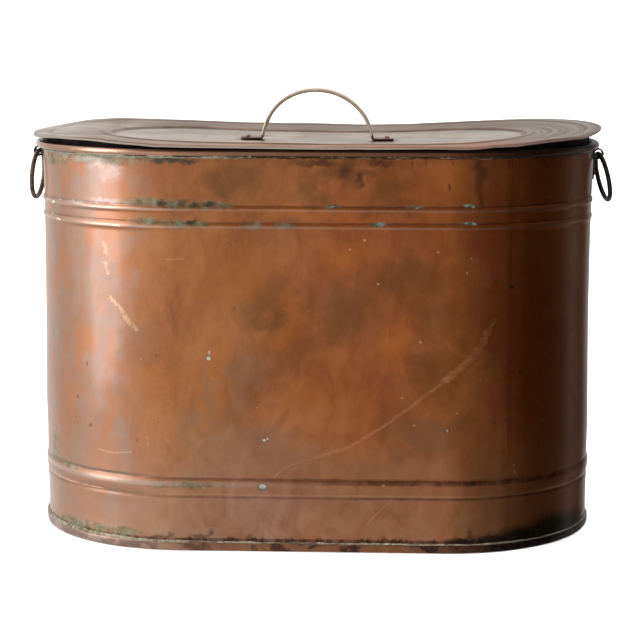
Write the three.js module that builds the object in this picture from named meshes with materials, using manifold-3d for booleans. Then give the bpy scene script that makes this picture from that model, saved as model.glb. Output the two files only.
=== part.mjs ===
import * as THREE from 'three';
import Module from 'manifold-3d';
import { mergeVertices } from 'three/addons/utils/BufferGeometryUtils.js';

// A copper wash boiler with flat sides and round ends, in millimetres, +Z up.
// The origin is the middle of its flat bottom, X runs along its length and -Y is its front.
// Every outline follows one plan: two straight sides and two half-round ends.
// An offset is a distance outwards from the outer face of the body wall.

// Body
const bodyLength = 560;
const bodyDepth = 300;
const rimTop = 394;
const sheet = 0.8;
const gap = 0.3;
const rimWireRadius = 3;
const rimCurlEnd = -120;
const rimSolderHeight = 2.6;
const rimSolderWidth = 1.7;

// Pressed bands: two narrow ridges high up, and one wide band low down
const ridgeHeights = [318.5, 335.3];
const ridgeWidth = 7.4;
const ridgeProud = 1.2;
const bandLow = 54;
const bandWidth = 18.5;
const bandProud = 1.2;

// Folded seam round the bottom, and the upright laps between the two sheets
const seamHeight = 8.5;
const seamSolderHeight = 5;
const lapAngle = -66;
const lapWidth = 10;
const lapMargin = 6;
const lapBite = 1.5;

// Lid, whose heights are taken from its seat on the rim. Its edge lies beyond the rim by lidLip,
// or within it where lidLip is below zero.
const lidLip = -0.8;
const lidHemWidth = 6;
const lidStepIn = 11;
const lidStepWidth = 4;
const lidStepDrop = 0.8;
const lidBeadIn = 54;
const lidBeadWidth = 13;
const lidBeadFlank = 4;
const lidBeadRise = 0.6;
const lidFlangeFall = 1.8;
const lidPanelFall = 1.2;
const lidPanelSag = 1.8;
const lidSagIn = 125;
const collarInset = 4;
const collarHeight = 24;
const collarFlange = 5;

// The lid is bent: its front touches the rim near lidLowX, and its ends and its back stand higher.
// Each end rises over a bend, at a slope that the skew adds to at the back and takes from at the front.
const lidLowX = 20;
const lidBackRise = 1.6;
const lidBendReach = 400;
const lidLeftBend = { length: 120, slope: 0.04, skew: 0.01 };
const lidRightBend = { length: 350, slope: 0.129, skew: 0.052 };

// Lid handle
const handleSpan = 114;
const handleRise = 52.1;
const handleWidth = 25;
const handleThickness = 2.2;
const handleFoot = 21;
const handleRivetOut = 14;
const handleRivetSpacing = 13;

// Ring handles and their lugs
const ringRadius = 24.1;
const ringWireRadius = 2.4;
const ringTilts = { left: 5, right: 13 };
const ringTwists = { left: 5, right: 7.5 };
const lugEyeBore = 3.9;
const lugStrap = 1.6;
const lugWidth = 12;
const lugTail = 26;
const lugRivetDrops = [12, 20];

// Rivets
const rivetShank = 1.4;
const rivetHead = 2.7;
const rivetHeadHeight = 1.3;
const rivetTail = 2.3;
const rivetTailHeight = 0.8;
const rivetDome = { crown: 0.6, crownHeight: 0.8, edgeHeight: 0.3 };
const holeDepth = 30;

// Fineness of the round shapes
const endSteps = 18;
const lidEndSteps = 12;
const lidSideSteps = 6;
const rimCurlSteps = 8;
const rimWireSides = 8;
const handleSteps = 20;
const ringSteps = 28;
const ringSides = 8;
const smallSides = 12;

const endRadius = bodyDepth / 2;
const sideHalf = bodyLength / 2 - endRadius;
const rimCentreOffset = rimWireRadius + gap;
const rimCurlOuter = rimWireRadius + gap + sheet;
const rimProud = rimCentreOffset + rimCurlOuter;
const rimCentreZ = rimTop - rimCurlOuter;
const seamProud = 2 * (sheet + gap);
const lidSeat = rimTop + gap;
const lidEdge = rimProud + lidLip;
const lidHem = 2 * sheet + gap;
const lugEyeOuter = lugEyeBore + lugStrap;
const lugEyeOffset = gap + lugEyeOuter;
const lugEyeZ = rimCentreZ - rimCurlOuter - gap - lugEyeOuter;

const wasm = await Module();
wasm.setup();

const radians = THREE.MathUtils.degToRad;
const degreesPerUnit = THREE.MathUtils.radToDeg(1 / endRadius);

const materials = {
  copper: { color: 0x9c5230, roughness: 0.38, metalness: 1 },
  lidCopper: { color: 0x9a8780, roughness: 0.42, metalness: 1 },
  brightCopper: { color: 0xb98a62, roughness: 0.35, metalness: 1 },
  solder: { color: 0xb9ad94, roughness: 0.55, metalness: 0.9 },
  iron: { color: 0x2b2623, roughness: 0.6, metalness: 0.85 },
};

// Plan of the boiler

function endStation(side, degrees) {
  const turn = radians(degrees);
  return { x: side * sideHalf, nx: side * Math.cos(turn), ny: side * Math.sin(turn) };
}

function endAngles(steps, extra = []) {
  const even = Array.from({ length: steps + 1 }, (_, i) => -90 + (180 * i) / steps);
  return [...even, ...extra].sort((a, b) => a - b);
}

function sideStations(direction, steps) {
  const inner = Array.from({ length: steps - 1 }, (_, i) => 1 - (2 * (i + 1)) / steps);
  return inner.map((share) => ({ x: direction * share * sideHalf, nx: 0, ny: direction }));
}

function planLoop(angles, steps = 1) {
  return [
    ...angles.map((degrees) => endStation(1, degrees)),
    ...sideStations(1, steps),
    ...angles.map((degrees) => endStation(-1, degrees)),
    ...sideStations(-1, steps),
  ];
}

function planPoint(station, offset, z, lift) {
  const reach = endRadius + (station.shift ?? 0) + offset;
  const x = station.x + reach * station.nx;
  const y = reach * station.ny;
  return [x, y, z + (lift ? lift(x, y) : 0)];
}

// Closed bodies

function closeGeometry(positions, indices) {
  let geometry = new THREE.BufferGeometry();
  geometry.setAttribute('position', new THREE.Float32BufferAttribute(positions, 3));
  geometry.setIndex(indices);
  geometry = mergeVertices(geometry);
  const kept = [];
  const index = geometry.index.array;
  for (let i = 0; i < index.length; i += 3) {
    const [a, b, c] = [index[i], index[i + 1], index[i + 2]];
    if (a !== b && b !== c && c !== a) {
      kept.push(a, b, c);
    }
  }
  geometry.setIndex(volumeOf(geometry, kept) < 0 ? kept.reverse() : kept);
  return geometry;
}

function volumeOf(geometry, index) {
  const corner = (i) => new THREE.Vector3().fromBufferAttribute(geometry.attributes.position, index[i]);
  let sum = 0;
  for (let i = 0; i < index.length; i += 3) {
    sum += corner(i).dot(corner(i + 1).cross(corner(i + 2)));
  }
  return sum / 6;
}

function welded(source) {
  const plain = source.clone();
  plain.deleteAttribute('normal');
  plain.deleteAttribute('uv');
  const merged = mergeVertices(plain);
  return closeGeometry(Array.from(merged.attributes.position.array), Array.from(merged.index.array));
}

// A section carried round the plan. A ring-shaped piece has a closed section, and a disc has
// an open one, which starts and ends over the middle line of the plan.
function sweep(stations, section, { closedPlan = true, closedSection = true, lift = null } = {}) {
  const size = section.length;
  const positions = stations.flatMap((station) =>
    section.flatMap(([offset, z]) => planPoint(station, offset, z, lift)));
  const indices = [];
  const planSteps = closedPlan ? stations.length : stations.length - 1;
  const sectionSteps = closedSection ? size : size - 1;
  for (let i = 0; i < planSteps; i += 1) {
    const here = i * size;
    const next = ((i + 1) % stations.length) * size;
    for (let k = 0; k < sectionSteps; k += 1) {
      const along = (k + 1) % size;
      indices.push(here + k, here + along, next + along);
      indices.push(here + k, next + along, next + k);
    }
  }
  if (!closedPlan) {
    indices.push(...endCaps(section, (stations.length - 1) * size));
  }
  return closeGeometry(positions, indices);
}

function endCaps(section, lastStart) {
  const outline = section.map(([offset, z]) => new THREE.Vector2(offset, z));
  const faces = THREE.ShapeUtils.triangulateShape(outline, []);
  const [a, b, c] = faces[0].map((i) => outline[i]);
  const faceTurn = b.clone().sub(a).cross(c.clone().sub(a));
  const sameTurn = faceTurn * THREE.ShapeUtils.area(outline) > 0;
  return faces.flatMap(([p, q, r]) => {
    const [first, second] = sameTurn ? [q, r] : [r, q];
    return [p, second, first, lastStart + p, lastStart + first, lastStart + second];
  });
}

function toSolid(geometry) {
  return new wasm.Manifold(new wasm.Mesh({
    numProp: 3,
    vertProperties: new Float32Array(geometry.attributes.position.array),
    triVerts: new Uint32Array(geometry.index.array),
  }));
}

function fromSolid(solid) {
  const { vertProperties, triVerts } = solid.getMesh();
  return closeGeometry(Array.from(vertProperties), Array.from(triVerts));
}

function cut(geometry, cutters) {
  const solid = cutters.reduce((left, cutter) => left.subtract(toSolid(cutter)), toSolid(geometry));
  return fromSolid(solid);
}

function joined(first, second) {
  return fromSolid(toSolid(first).add(toSolid(second)));
}

function rivetHole(matrix) {
  const radius = rivetShank + gap;
  const round = new THREE.CylinderGeometry(radius, radius, holeDepth, smallSides);
  return welded(round).applyMatrix4(matrix);
}

function addMesh(parent, name, geometry, look) {
  const mesh = new THREE.Mesh(geometry, new THREE.MeshStandardMaterial(look));
  mesh.name = name;
  parent.add(mesh);
  return mesh;
}

// Body sheets

function wallLine() {
  const ridges = ridgeHeights.flatMap((middle) => [
    [0, middle - ridgeWidth / 2],
    [ridgeProud, middle - ridgeWidth / 6],
    [ridgeProud, middle + ridgeWidth / 6],
    [0, middle + ridgeWidth / 2],
  ]);
  const band = [
    [0, bandLow],
    [bandProud, bandLow + bandWidth / 4],
    [bandProud, bandLow + (bandWidth * 3) / 4],
    [0, bandLow + bandWidth],
  ];
  return [...band, ...ridges];
}

function curlArc(radius, from, to) {
  return Array.from({ length: rimCurlSteps + 1 }, (_, i) => {
    const turn = radians(from + ((to - from) * i) / rimCurlSteps);
    return [rimCentreOffset + radius * Math.cos(turn), rimCentreZ + radius * Math.sin(turn)];
  });
}

function innerFace(line) {
  return line.map(([offset, z]) => [offset - sheet, z]).reverse();
}

// The foot of the wall is folded back up outside it, and the top is rolled round the wire.
function sheetSection() {
  const footZ = sheet + gap;
  const footTop = seamHeight - sheet - gap;
  const foot = [
    [-sheet, footZ],
    [gap + sheet, footZ],
    [gap + sheet, footTop],
    [gap, footTop],
    [gap, footZ + sheet],
    [0, footZ + sheet],
  ];
  const inner = curlArc(rimCentreOffset, 180, rimCurlEnd);
  const outer = curlArc(rimCurlOuter, rimCurlEnd, 180);
  return [...foot, ...wallLine(), ...inner, ...outer, ...innerFace(wallLine())];
}

// The lap is the edge of a sheet, set in behind the sheet that it meets.
function lapStrip() {
  const low = seamHeight + lapMargin;
  const high = rimCentreZ - rimCurlOuter - lapMargin;
  const line = [[0, low], ...wallLine(), [0, high]];
  const section = [...line, ...innerFace(line)];
  const setIn = -(sheet + gap);
  const stations = [
    { ...endStation(1, lapAngle - lapWidth * degreesPerUnit), shift: setIn },
    { ...endStation(1, lapAngle - gap * degreesPerUnit), shift: setIn },
    { ...endStation(1, lapAngle + lapBite * degreesPerUnit), shift: -sheet / 2 },
  ];
  return sweep(stations, section, { closedPlan: false });
}

const bodyAngles = endAngles(endSteps, [lapAngle]);

// Half of the body as the back sheet has it. The front sheet is this one turned half a turn.
function bodySheet() {
  const stations = [
    ...bodyAngles.filter((degrees) => degrees >= lapAngle).map((degrees) => endStation(1, degrees)),
    ...bodyAngles.filter((degrees) => degrees < lapAngle).map((degrees) => endStation(-1, degrees)),
    endStation(-1, lapAngle - gap * degreesPerUnit),
  ];
  const plain = sweep(stations, sheetSection(), { closedPlan: false });
  return joined(plain, lapStrip());
}

function lugRivetMatrix(side, drop) {
  const along = new THREE.Matrix4().makeRotationZ((-side * Math.PI) / 2);
  const place = new THREE.Matrix4().makeTranslation(side * (bodyLength / 2), 0, lugEyeZ - drop);
  return place.multiply(along);
}

function lugHoles(side) {
  return lugRivetDrops.map((drop) => rivetHole(lugRivetMatrix(side, drop)));
}

// Bottom

function bottomPan() {
  const section = [
    [-endRadius, 0],
    [seamProud, 0],
    [seamProud, seamHeight],
    [gap, seamHeight],
    [gap, seamHeight - sheet],
    [seamProud - sheet, seamHeight - sheet],
    [seamProud - sheet, sheet],
    [-endRadius, sheet],
  ];
  return sweep(planLoop(bodyAngles), section, { closedSection: false });
}

function seamSolder() {
  const base = seamHeight + gap;
  const section = [[gap, base], [seamProud, base], [gap, base + seamSolderHeight]];
  return sweep(planLoop(bodyAngles), section);
}

// Rim

function rimWire() {
  const section = Array.from({ length: rimWireSides }, (_, i) => {
    const turn = (2 * Math.PI * i) / rimWireSides;
    const radius = rimWireRadius;
    return [rimCentreOffset + radius * Math.cos(turn), rimCentreZ + radius * Math.sin(turn)];
  });
  return sweep(planLoop(bodyAngles), section);
}

function rimSolder() {
  const drop = rimCurlOuter + gap;
  const beside = Math.sqrt(drop ** 2 - (rimCentreOffset - gap) ** 2);
  const top = rimCentreZ - beside - gap;
  const section = [
    [gap, top - rimSolderHeight],
    [gap + rimSolderWidth, rimCentreZ - drop - gap],
    [gap, top],
  ];
  return sweep(planLoop(bodyAngles), section);
}

// Lugs and rings

function lug() {
  const shape = new THREE.Shape();
  const meet = -Math.acos((lugStrap - lugEyeOuter) / lugEyeOuter);
  shape.moveTo(gap, lugEyeZ - lugTail);
  shape.lineTo(gap, lugEyeZ);
  shape.absarc(lugEyeOffset, lugEyeZ, lugEyeOuter, Math.PI, meet, true);
  shape.lineTo(gap + lugStrap, lugEyeZ - lugTail);
  const bore = new THREE.Path();
  bore.absarc(lugEyeOffset, lugEyeZ, lugEyeBore, 0, 2 * Math.PI, false);
  shape.holes.push(bore);
  const options = { depth: lugWidth, bevelEnabled: false, curveSegments: smallSides };
  const strap = new THREE.ExtrudeGeometry(shape, options);
  strap.rotateX(Math.PI / 2);
  strap.translate(bodyLength / 2, lugWidth / 2, 0);
  return cut(welded(strap), lugHoles(1));
}

function ring() {
  const torus = new THREE.TorusGeometry(ringRadius, ringWireRadius, ringSides, ringSteps);
  torus.rotateY(Math.PI / 2);
  torus.translate(0, 0, -ringRadius);
  return welded(torus);
}

// A rivet stands along +Y, with the underside of its head at the origin.
function rivet(grip) {
  const profile = [
    [0, rivetHeadHeight],
    [rivetHead * rivetDome.crown, rivetHeadHeight * rivetDome.crownHeight],
    [rivetHead, rivetHeadHeight * rivetDome.edgeHeight],
    [rivetHead, 0],
    [rivetShank, 0],
    [rivetShank, -grip],
    [rivetTail, -grip],
    [rivetTail, -grip - rivetTailHeight],
    [0, -grip - rivetTailHeight],
  ].map(([x, y]) => new THREE.Vector2(x, y));
  return welded(new THREE.LatheGeometry(profile, smallSides));
}

function lugRivet(side, drop) {
  const seat = new THREE.Matrix4().makeTranslation(0, 2 * gap + lugStrap, 0);
  const grip = 3 * gap + lugStrap + sheet;
  return rivet(grip).applyMatrix4(lugRivetMatrix(side, drop).multiply(seat));
}

// Lid

function lidLift(x, y) {
  const bend = x < lidLowX ? lidLeftBend : lidRightBend;
  const towardsBack = y / (endRadius + lidEdge);
  const along = Math.hypot(x - lidLowX, bend.length) - bend.length;
  const slope = bend.slope + bend.skew * towardsBack;
  const ends = slope * lidBendReach * Math.tanh(along / lidBendReach);
  return ends + (lidBackRise * (1 + towardsBack)) / 2;
}

// Upper face of the lid, as distances in from its edge and heights over its seat.
function lidFace() {
  const stepEnd = lidStepIn + lidStepWidth;
  const beadEnd = lidBeadIn + lidBeadWidth;
  const flange = lidHem - lidStepDrop;
  const beadFoot = flange - lidFlangeFall;
  const panel = beadFoot - lidPanelFall;
  return [
    [endRadius + lidEdge, panel - lidPanelSag],
    [lidSagIn, panel - lidPanelSag],
    [beadEnd, panel],
    [beadEnd - lidBeadFlank, beadFoot + lidBeadRise],
    [lidBeadIn + lidBeadFlank, beadFoot + lidBeadRise],
    [lidBeadIn, beadFoot],
    [stepEnd, flange],
    [lidStepIn, lidHem],
  ];
}

function lidPanelHeight(x, y) {
  return lidSeat + lidFace()[1][1] + lidLift(x, y);
}

function lidSection() {
  const onPlan = ([inwards, z]) => [lidEdge - inwards, lidSeat + z];
  const top = lidFace();
  const under = [...top].reverse().map(([inwards, z]) => [inwards, z - sheet]);
  const hem = [
    [0, lidHem],
    [0, 0],
    [lidHemWidth, 0],
    [lidHemWidth, lidHem - sheet],
  ];
  return [...top, ...hem, ...under].map(onPlan);
}

const lidLoop = planLoop(endAngles(lidEndSteps), lidSideSteps);

function lidCollar() {
  const outer = -collarInset;
  const inner = outer - sheet;
  const flangeIn = outer - collarFlange;
  const flangeZ = lidSeat + lidHem - lidStepDrop - sheet - gap;
  const section = [
    [outer, flangeZ],
    [outer, flangeZ - collarHeight],
    [inner, flangeZ - collarHeight],
    [inner, flangeZ - sheet],
    [flangeIn, flangeZ - sheet],
    [flangeIn, flangeZ],
  ];
  return sweep(lidLoop, section, { lift: lidLift });
}

// The feet rest at their outer ends, where the bent panel is highest under them.
const footEnd = handleSpan / 2 + handleFoot;
const handleHeights = [-footEnd, footEnd].map((x) => lidPanelHeight(x, 0));
const handleSeat = (handleHeights[0] + handleHeights[1]) / 2 + gap;
const handleTurn = Math.atan2(handleHeights[0] - handleHeights[1], 2 * footEnd);

function lidHandle() {
  const outerHalf = handleSpan / 2;
  const shape = new THREE.Shape();
  const innerHalf = outerHalf - handleThickness;
  const innerRise = handleRise - handleThickness;
  const footTop = Math.asin(handleThickness / handleRise);
  shape.moveTo(-footEnd, 0);
  shape.absellipse(0, 0, innerHalf, innerRise, Math.PI, 0, true);
  shape.lineTo(footEnd, 0);
  shape.lineTo(footEnd, handleThickness);
  shape.absellipse(0, 0, outerHalf, handleRise, footTop, Math.PI - footTop, false);
  shape.lineTo(-footEnd, handleThickness);
  const options = { depth: handleWidth, bevelEnabled: false, curveSegments: handleSteps };
  const strap = new THREE.ExtrudeGeometry(shape, options);
  strap.rotateX(Math.PI / 2);
  strap.translate(0, handleWidth / 2, 0);
  return welded(strap);
}

const handleFrame = new THREE.Matrix4()
  .makeTranslation(0, 0, handleSeat)
  .multiply(new THREE.Matrix4().makeRotationY(handleTurn));

const handleRivetPlaces = [-1, 1].flatMap((end) => [-1, 1].map((side) => [
  end * (handleSpan / 2 + handleRivetOut),
  (side * handleRivetSpacing) / 2,
]));

function handleRivetMatrix([x, y]) {
  const upright = new THREE.Matrix4().makeRotationX(Math.PI / 2);
  return new THREE.Matrix4().makeTranslation(x, y, handleThickness + gap).multiply(upright);
}

function handleHoles() {
  return handleRivetPlaces.map((place) => rivetHole(handleRivetMatrix(place)));
}

// Assembly

const boiler = new THREE.Group();

const halfTurn = new THREE.Matrix4().makeRotationZ(Math.PI);
const backSheet = cut(bodySheet(), lugHoles(1));
const frontSheet = cut(bodySheet().applyMatrix4(halfTurn), lugHoles(-1));
addMesh(boiler, 'front_sheet', frontSheet, materials.copper);
addMesh(boiler, 'back_sheet', backSheet, materials.copper);
addMesh(boiler, 'rim_wire', rimWire(), materials.iron);
addMesh(boiler, 'rim_solder', rimSolder(), materials.solder);
addMesh(boiler, 'bottom_pan', bottomPan(), materials.copper);
addMesh(boiler, 'bottom_seam_solder', seamSolder(), materials.solder);

for (const [name, side] of [['left', -1], ['right', 1]]) {
  const lugMesh = addMesh(boiler, `lug_${name}`, lug(), materials.iron);
  lugMesh.rotation.z = side < 0 ? Math.PI : 0;
  lugRivetDrops.forEach((drop, i) => {
    addMesh(boiler, `lug_rivet_${name}_${i + 1}`, lugRivet(side, drop), materials.brightCopper);
  });
  const hanger = new THREE.Group();
  hanger.position.set(side * (bodyLength / 2 + lugEyeOffset), 0, lugEyeZ);
  hanger.rotation.y = -side * radians(ringTilts[name]);
  const ringMesh = addMesh(hanger, `ring_${name}`, ring(), materials.iron);
  ringMesh.rotation.z = side * radians(ringTwists[name]);
  boiler.add(hanger);
}

const lidHoles = handleHoles().map((hole) => hole.applyMatrix4(handleFrame));
const panel = sweep(lidLoop, lidSection(), { closedSection: false, lift: lidLift });
addMesh(boiler, 'lid_panel', cut(panel, lidHoles), materials.lidCopper);
addMesh(boiler, 'lid_collar', lidCollar(), materials.lidCopper);

const handle = new THREE.Group();
handle.position.z = handleSeat;
handle.rotation.y = handleTurn;
addMesh(handle, 'lid_handle', cut(lidHandle(), handleHoles()), materials.brightCopper);
const handleGrip = handleThickness + 3 * gap + sheet;
handleRivetPlaces.forEach((place, i) => {
  const body = rivet(handleGrip).applyMatrix4(handleRivetMatrix(place));
  addMesh(handle, `lid_rivet_${i + 1}`, body, materials.brightCopper);
});
boiler.add(handle);

export default boiler;
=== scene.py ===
import math

import bpy
import numpy as np
from mathutils import Matrix, Vector


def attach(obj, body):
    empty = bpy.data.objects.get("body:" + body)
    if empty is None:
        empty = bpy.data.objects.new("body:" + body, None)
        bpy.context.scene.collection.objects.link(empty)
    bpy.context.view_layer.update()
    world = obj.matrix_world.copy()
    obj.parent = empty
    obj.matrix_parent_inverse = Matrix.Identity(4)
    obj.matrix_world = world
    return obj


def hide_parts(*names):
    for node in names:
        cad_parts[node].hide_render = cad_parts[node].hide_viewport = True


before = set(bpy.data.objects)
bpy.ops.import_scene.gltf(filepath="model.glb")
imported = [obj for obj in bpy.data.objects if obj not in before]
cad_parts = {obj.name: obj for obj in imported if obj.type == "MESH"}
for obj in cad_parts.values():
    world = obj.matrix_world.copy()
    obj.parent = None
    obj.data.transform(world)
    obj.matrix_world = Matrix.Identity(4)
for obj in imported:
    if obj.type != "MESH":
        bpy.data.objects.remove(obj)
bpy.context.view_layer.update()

# Sizes in millimetres, as in the solids. An offset is a distance outwards from the wall's outer face.
MM = 0.001
SHEET = 0.8
GAP = 0.3
END_RADIUS = 150.0
SIDE_HALF = 130.0
WALL_END = END_RADIUS + SIDE_HALF
RIM_TOP = 394.0
RIM_WIRE = 3.0
RIM_CENTRE = RIM_WIRE + GAP
RIM_OUTER = RIM_WIRE + GAP + SHEET
RIM_Z = RIM_TOP - RIM_OUTER
RIM_END = -120.0
SEAM_HEIGHT = 8.5
LAP_ANGLE = -66.0
LAP_WIDTH = 10.0
LAP_MARGIN = 6.0
LAP_THICK = 0.7
LID_SEAT = RIM_TOP + GAP
LID_EDGE = RIM_CENTRE + RIM_OUTER - 0.8
LID_REACH = END_RADIUS + LID_EDGE
LID_HEM = 2 * SHEET + GAP
COLLAR_OFFSET = -4.0
COLLAR_HEIGHT = 24.0
HANDLE_SPAN = 114.0
HANDLE_RISE = 52.1
HANDLE_WIDTH = 25.0
HANDLE_THICK = 2.2
HANDLE_FOOT = 21.0
HANDLE_LEAN = 1.4
HANDLE_SWELL = 1.3
HANDLE_BEND = 2.4
FOOT_END = HANDLE_SPAN / 2 + HANDLE_FOOT
LUG_BORE = 3.9
LUG_STRAP = 1.6
LUG_WIDTH = 12.0
LUG_TAIL = 26.0
LUG_OUTER = LUG_BORE + LUG_STRAP
LUG_X = WALL_END + GAP + LUG_OUTER
LUG_Z = RIM_Z - RIM_OUTER - GAP - LUG_OUTER
LUG_RIVET_DROPS = (12, 20)
LID_RIVET_OUT = 14.0
LID_RIVET_SIDE = 6.5
RIVET_SHANK = 1.4
RIVET_HEAD = 2.7
RIVET_DOME = 1.3
RING_RADIUS = 24.1
RING_WIRE = 2.4
RING_TILTS = {"left": 5.0, "right": 13.0}
RING_TWISTS = {"left": 5.0, "right": 7.5}
SIDES = {"left": -1, "right": 1}

ARC = math.pi * END_RADIUS
PLAN_LENGTH = 2 * ARC + 4 * SIDE_HALF
LAP_START = math.radians(90 + LAP_ANGLE) * END_RADIUS


# Meshes

def link(name, data):
    obj = bpy.data.objects.new(name, data)
    bpy.context.scene.collection.objects.link(obj)
    return obj


def piece(name, node, body, points, faces, materials, sharp, face_slots=None):
    """A smooth-shaded object from points in millimetres, with its faces turned outwards."""
    points = np.asarray(points, float).reshape(-1, 3) * MM
    faces = [list(f) for f in faces]
    if volume(points, faces) < 0:
        faces = [f[::-1] for f in faces]
    mesh = bpy.data.meshes.new(name)
    mesh.from_pydata(points.tolist(), [], faces)
    mesh.update()
    for material in materials:
        mesh.materials.append(material)
    if face_slots is not None:
        mesh.polygons.foreach_set("material_index", np.asarray(face_slots, np.int32))
    mesh.shade_smooth()
    mesh.set_sharp_from_angle(angle=math.radians(sharp))
    obj = link(name, mesh)
    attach(obj, body)
    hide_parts(node)


def volume(points, faces):
    total = 0.0
    for size in sorted({len(f) for f in faces}):
        group = np.array([f for f in faces if len(f) == size])
        first = points[group[:, 0]]
        for k in range(1, size - 1):
            facing = np.cross(points[group[:, k]], points[group[:, k + 1]])
            total += np.einsum("ij,ij->i", first, facing).sum()
    return total


def grid_faces(rows, cols, wrap_rows=False, wrap_cols=False):
    r = np.arange(rows if wrap_rows else rows - 1)
    c = np.arange(cols if wrap_cols else cols - 1)
    r, c = (a.ravel() for a in np.meshgrid(r, c, indexing="ij"))
    r2, c2 = (r + 1) % rows, (c + 1) % cols
    return np.stack([r * cols + c, r2 * cols + c, r2 * cols + c2, r * cols + c2], -1)


def capped_faces(rows, cols):
    """Faces of a tube of closed sections, with a cap on its first and last one."""
    faces = grid_faces(rows, cols, wrap_cols=True).tolist()
    return faces + [list(range(cols)), list(range((rows - 1) * cols, rows * cols))[::-1]]


def capped_slots(rows, cols, lining):
    """1 for the faces of a capped tube from the column of its lining on, 0 for the others."""
    return np.append(np.tile(np.arange(cols) >= lining, rows - 1), [0, 0])


# Smooth seeded noise in space, from sums of waves

def wobble(points, length, seed, terms=7):
    rng = np.random.default_rng(seed)
    total = np.zeros(len(points))
    for _ in range(terms):
        way = rng.normal(size=3)
        way /= np.linalg.norm(way)
        wave = 2 * math.pi / (length * rng.uniform(0.7, 1.5))
        total += np.sin(points @ (way * wave) + rng.uniform(0, 2 * math.pi))
    return total / math.sqrt(terms)


def step(value, low, high):
    t = np.clip((np.asarray(value, float) - low) / (high - low), 0, 1)
    return t * t * (3 - 2 * t)


def curve(value, table, blur):
    """Interpolates a table of (place, height), rounded off over a distance of blur."""
    xs, ys = zip(*sorted(table))
    shifts = np.linspace(-1, 1, 9)
    weights = np.exp(-2 * shifts ** 2)
    total = sum(w * np.interp(np.asarray(value) + s * blur, xs, ys) for s, w in zip(shifts, weights))
    return total / weights.sum()


# Plan of the boiler: distance s runs round the wall from the front of the right end

def plan(s):
    s = np.mod(np.asarray(s, float), PLAN_LENGTH)
    side = 2 * SIDE_HALF
    centre = np.zeros_like(s)
    turn = np.zeros_like(s)
    right = s < ARC
    back = (s >= ARC) & (s < ARC + side)
    left = (s >= ARC + side) & (s < 2 * ARC + side)
    front = s >= 2 * ARC + side
    centre[right] = SIDE_HALF
    turn[right] = s[right] / END_RADIUS - math.pi / 2
    centre[back] = SIDE_HALF - (s[back] - ARC)
    turn[back] = math.pi / 2
    centre[left] = -SIDE_HALF
    turn[left] = (s[left] - ARC - side) / END_RADIUS + math.pi / 2
    centre[front] = -SIDE_HALF + (s[front] - 2 * ARC - side)
    turn[front] = -math.pi / 2
    return centre, np.cos(turn), np.sin(turn)


def wall_places(s):
    """Points on the wall's outer face, at height 0."""
    centre, nx, ny = plan(s)
    return np.stack([centre + END_RADIUS * nx, END_RADIUS * ny, 0 * s], -1)


def swept(stations, offsets, heights):
    """Points of a section at each station, from offsets and heights of (stations, rows) or of rows alone."""
    centre, nx, ny = plan(stations)
    reach = END_RADIUS + offsets
    x = centre[:, None] + reach * nx[:, None]
    y = reach * ny[:, None]
    return np.stack([x, y, np.broadcast_to(heights, x.shape)], -1)


def push_out(points, stations, push):
    """Moves swept points outwards, each by its own distance."""
    _, nx, ny = plan(stations)
    points[..., 0] += push * nx[:, None]
    points[..., 1] += push * ny[:, None]


def round_stations(spacing):
    return np.linspace(0, PLAN_LENGTH, int(PLAN_LENGTH / spacing), endpoint=False)


def columns(s, *values):
    """A column for each value and a row for each station."""
    return np.stack([value + 0 * s for value in values], -1)


# Shape of the wall: height, and distance outwards

RIDGES = [
    (340.5, 0), (339.4, -0.12), (338.8, -0.22), (338.0, 0.2), (336.9, 0.85), (335.6, 1.18), (334.2, 1.12),
    (332.9, 0.65), (331.8, 0.2), (330.6, 0.08), (324.4, 0.06), (323.4, -0.1), (322.7, -0.22), (321.9, 0.2),
    (320.6, 0.85), (319.1, 1.15), (317.5, 1.08), (316.0, 0.6), (314.7, 0.18), (313.2, 0),
]
BAND = [
    (75.5, 0), (73.6, -0.12), (72.6, -0.25), (71.4, 0.25), (69.8, 0.86), (67.4, 1.2), (64.4, 1.28),
    (61.4, 1.12), (58.4, 0.72), (56.2, 0.28), (55.0, -0.12), (54.2, -0.24), (53.2, 0.06), (51.8, 0.3),
    (49.4, 0.26), (44.0, 0.05), (40.0, 0),
]
FOOT = [(24.0, 0), (19.0, 0.12), (15.0, 0.25), (9.0, 0.25), (0.0, 0.25)]
# Measured swelling of the two ends
RIGHT_SWELL = [
    (0, 0), (14, 0.4), (30, 0.5), (44, 0.6), (80, 0.8), (110, 1.0), (150, 0.3), (190, -0.4), (230, -0.9),
    (300, -0.8), (345, -0.2), (375, 0.6), (400, 0),
]
LEFT_SWELL = [
    (0, 0), (20, -0.6), (30, -0.5), (60, 0.3), (100, 0.2), (130, 0.9), (170, 0.2), (205, -0.2), (250, -0.5),
    (300, -0.6), (345, -0.3), (375, 0), (400, 0),
]
# Section of the folded bottom: offset and height
BOTTOM = [
    (-END_RADIUS, 0), (-100, 0), (-40, 0), (-6, 0), (0.6, 0), (1.5, 0.25), (2.05, 0.9), (2.3, 2.0),
    (2.36, 4.0), (2.32, 6.0), (2.15, 7.4), (1.7, 8.2), (1.1, 8.5), (0.3, 8.5), (0.3, 7.7), (1.3, 7.5),
    (1.35, 1.2), (-6, 0.9), (-40, 0.8), (-100, 0.8), (-END_RADIUS, 0.8),
]
RIM_SOLDER_TOP = 387.2
RIM_SOLDER_LOW = 387.0


def wall_rows():
    fine = [np.arange(40, 80, 0.75), np.arange(312, 342, 0.6), np.arange(7.5, 26, 1.5)]
    plain = np.arange(26, 384, 3.6)
    rows = np.unique(np.round(np.concatenate([plain, *fine, [385.0, 387.0]]), 2))
    return rows[rows >= SHEET + GAP]


def wall_line(z):
    return curve(z, RIDGES, 0.5) + curve(z, BAND, 0.6) + curve(z, FOOT, 1.5)


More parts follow.
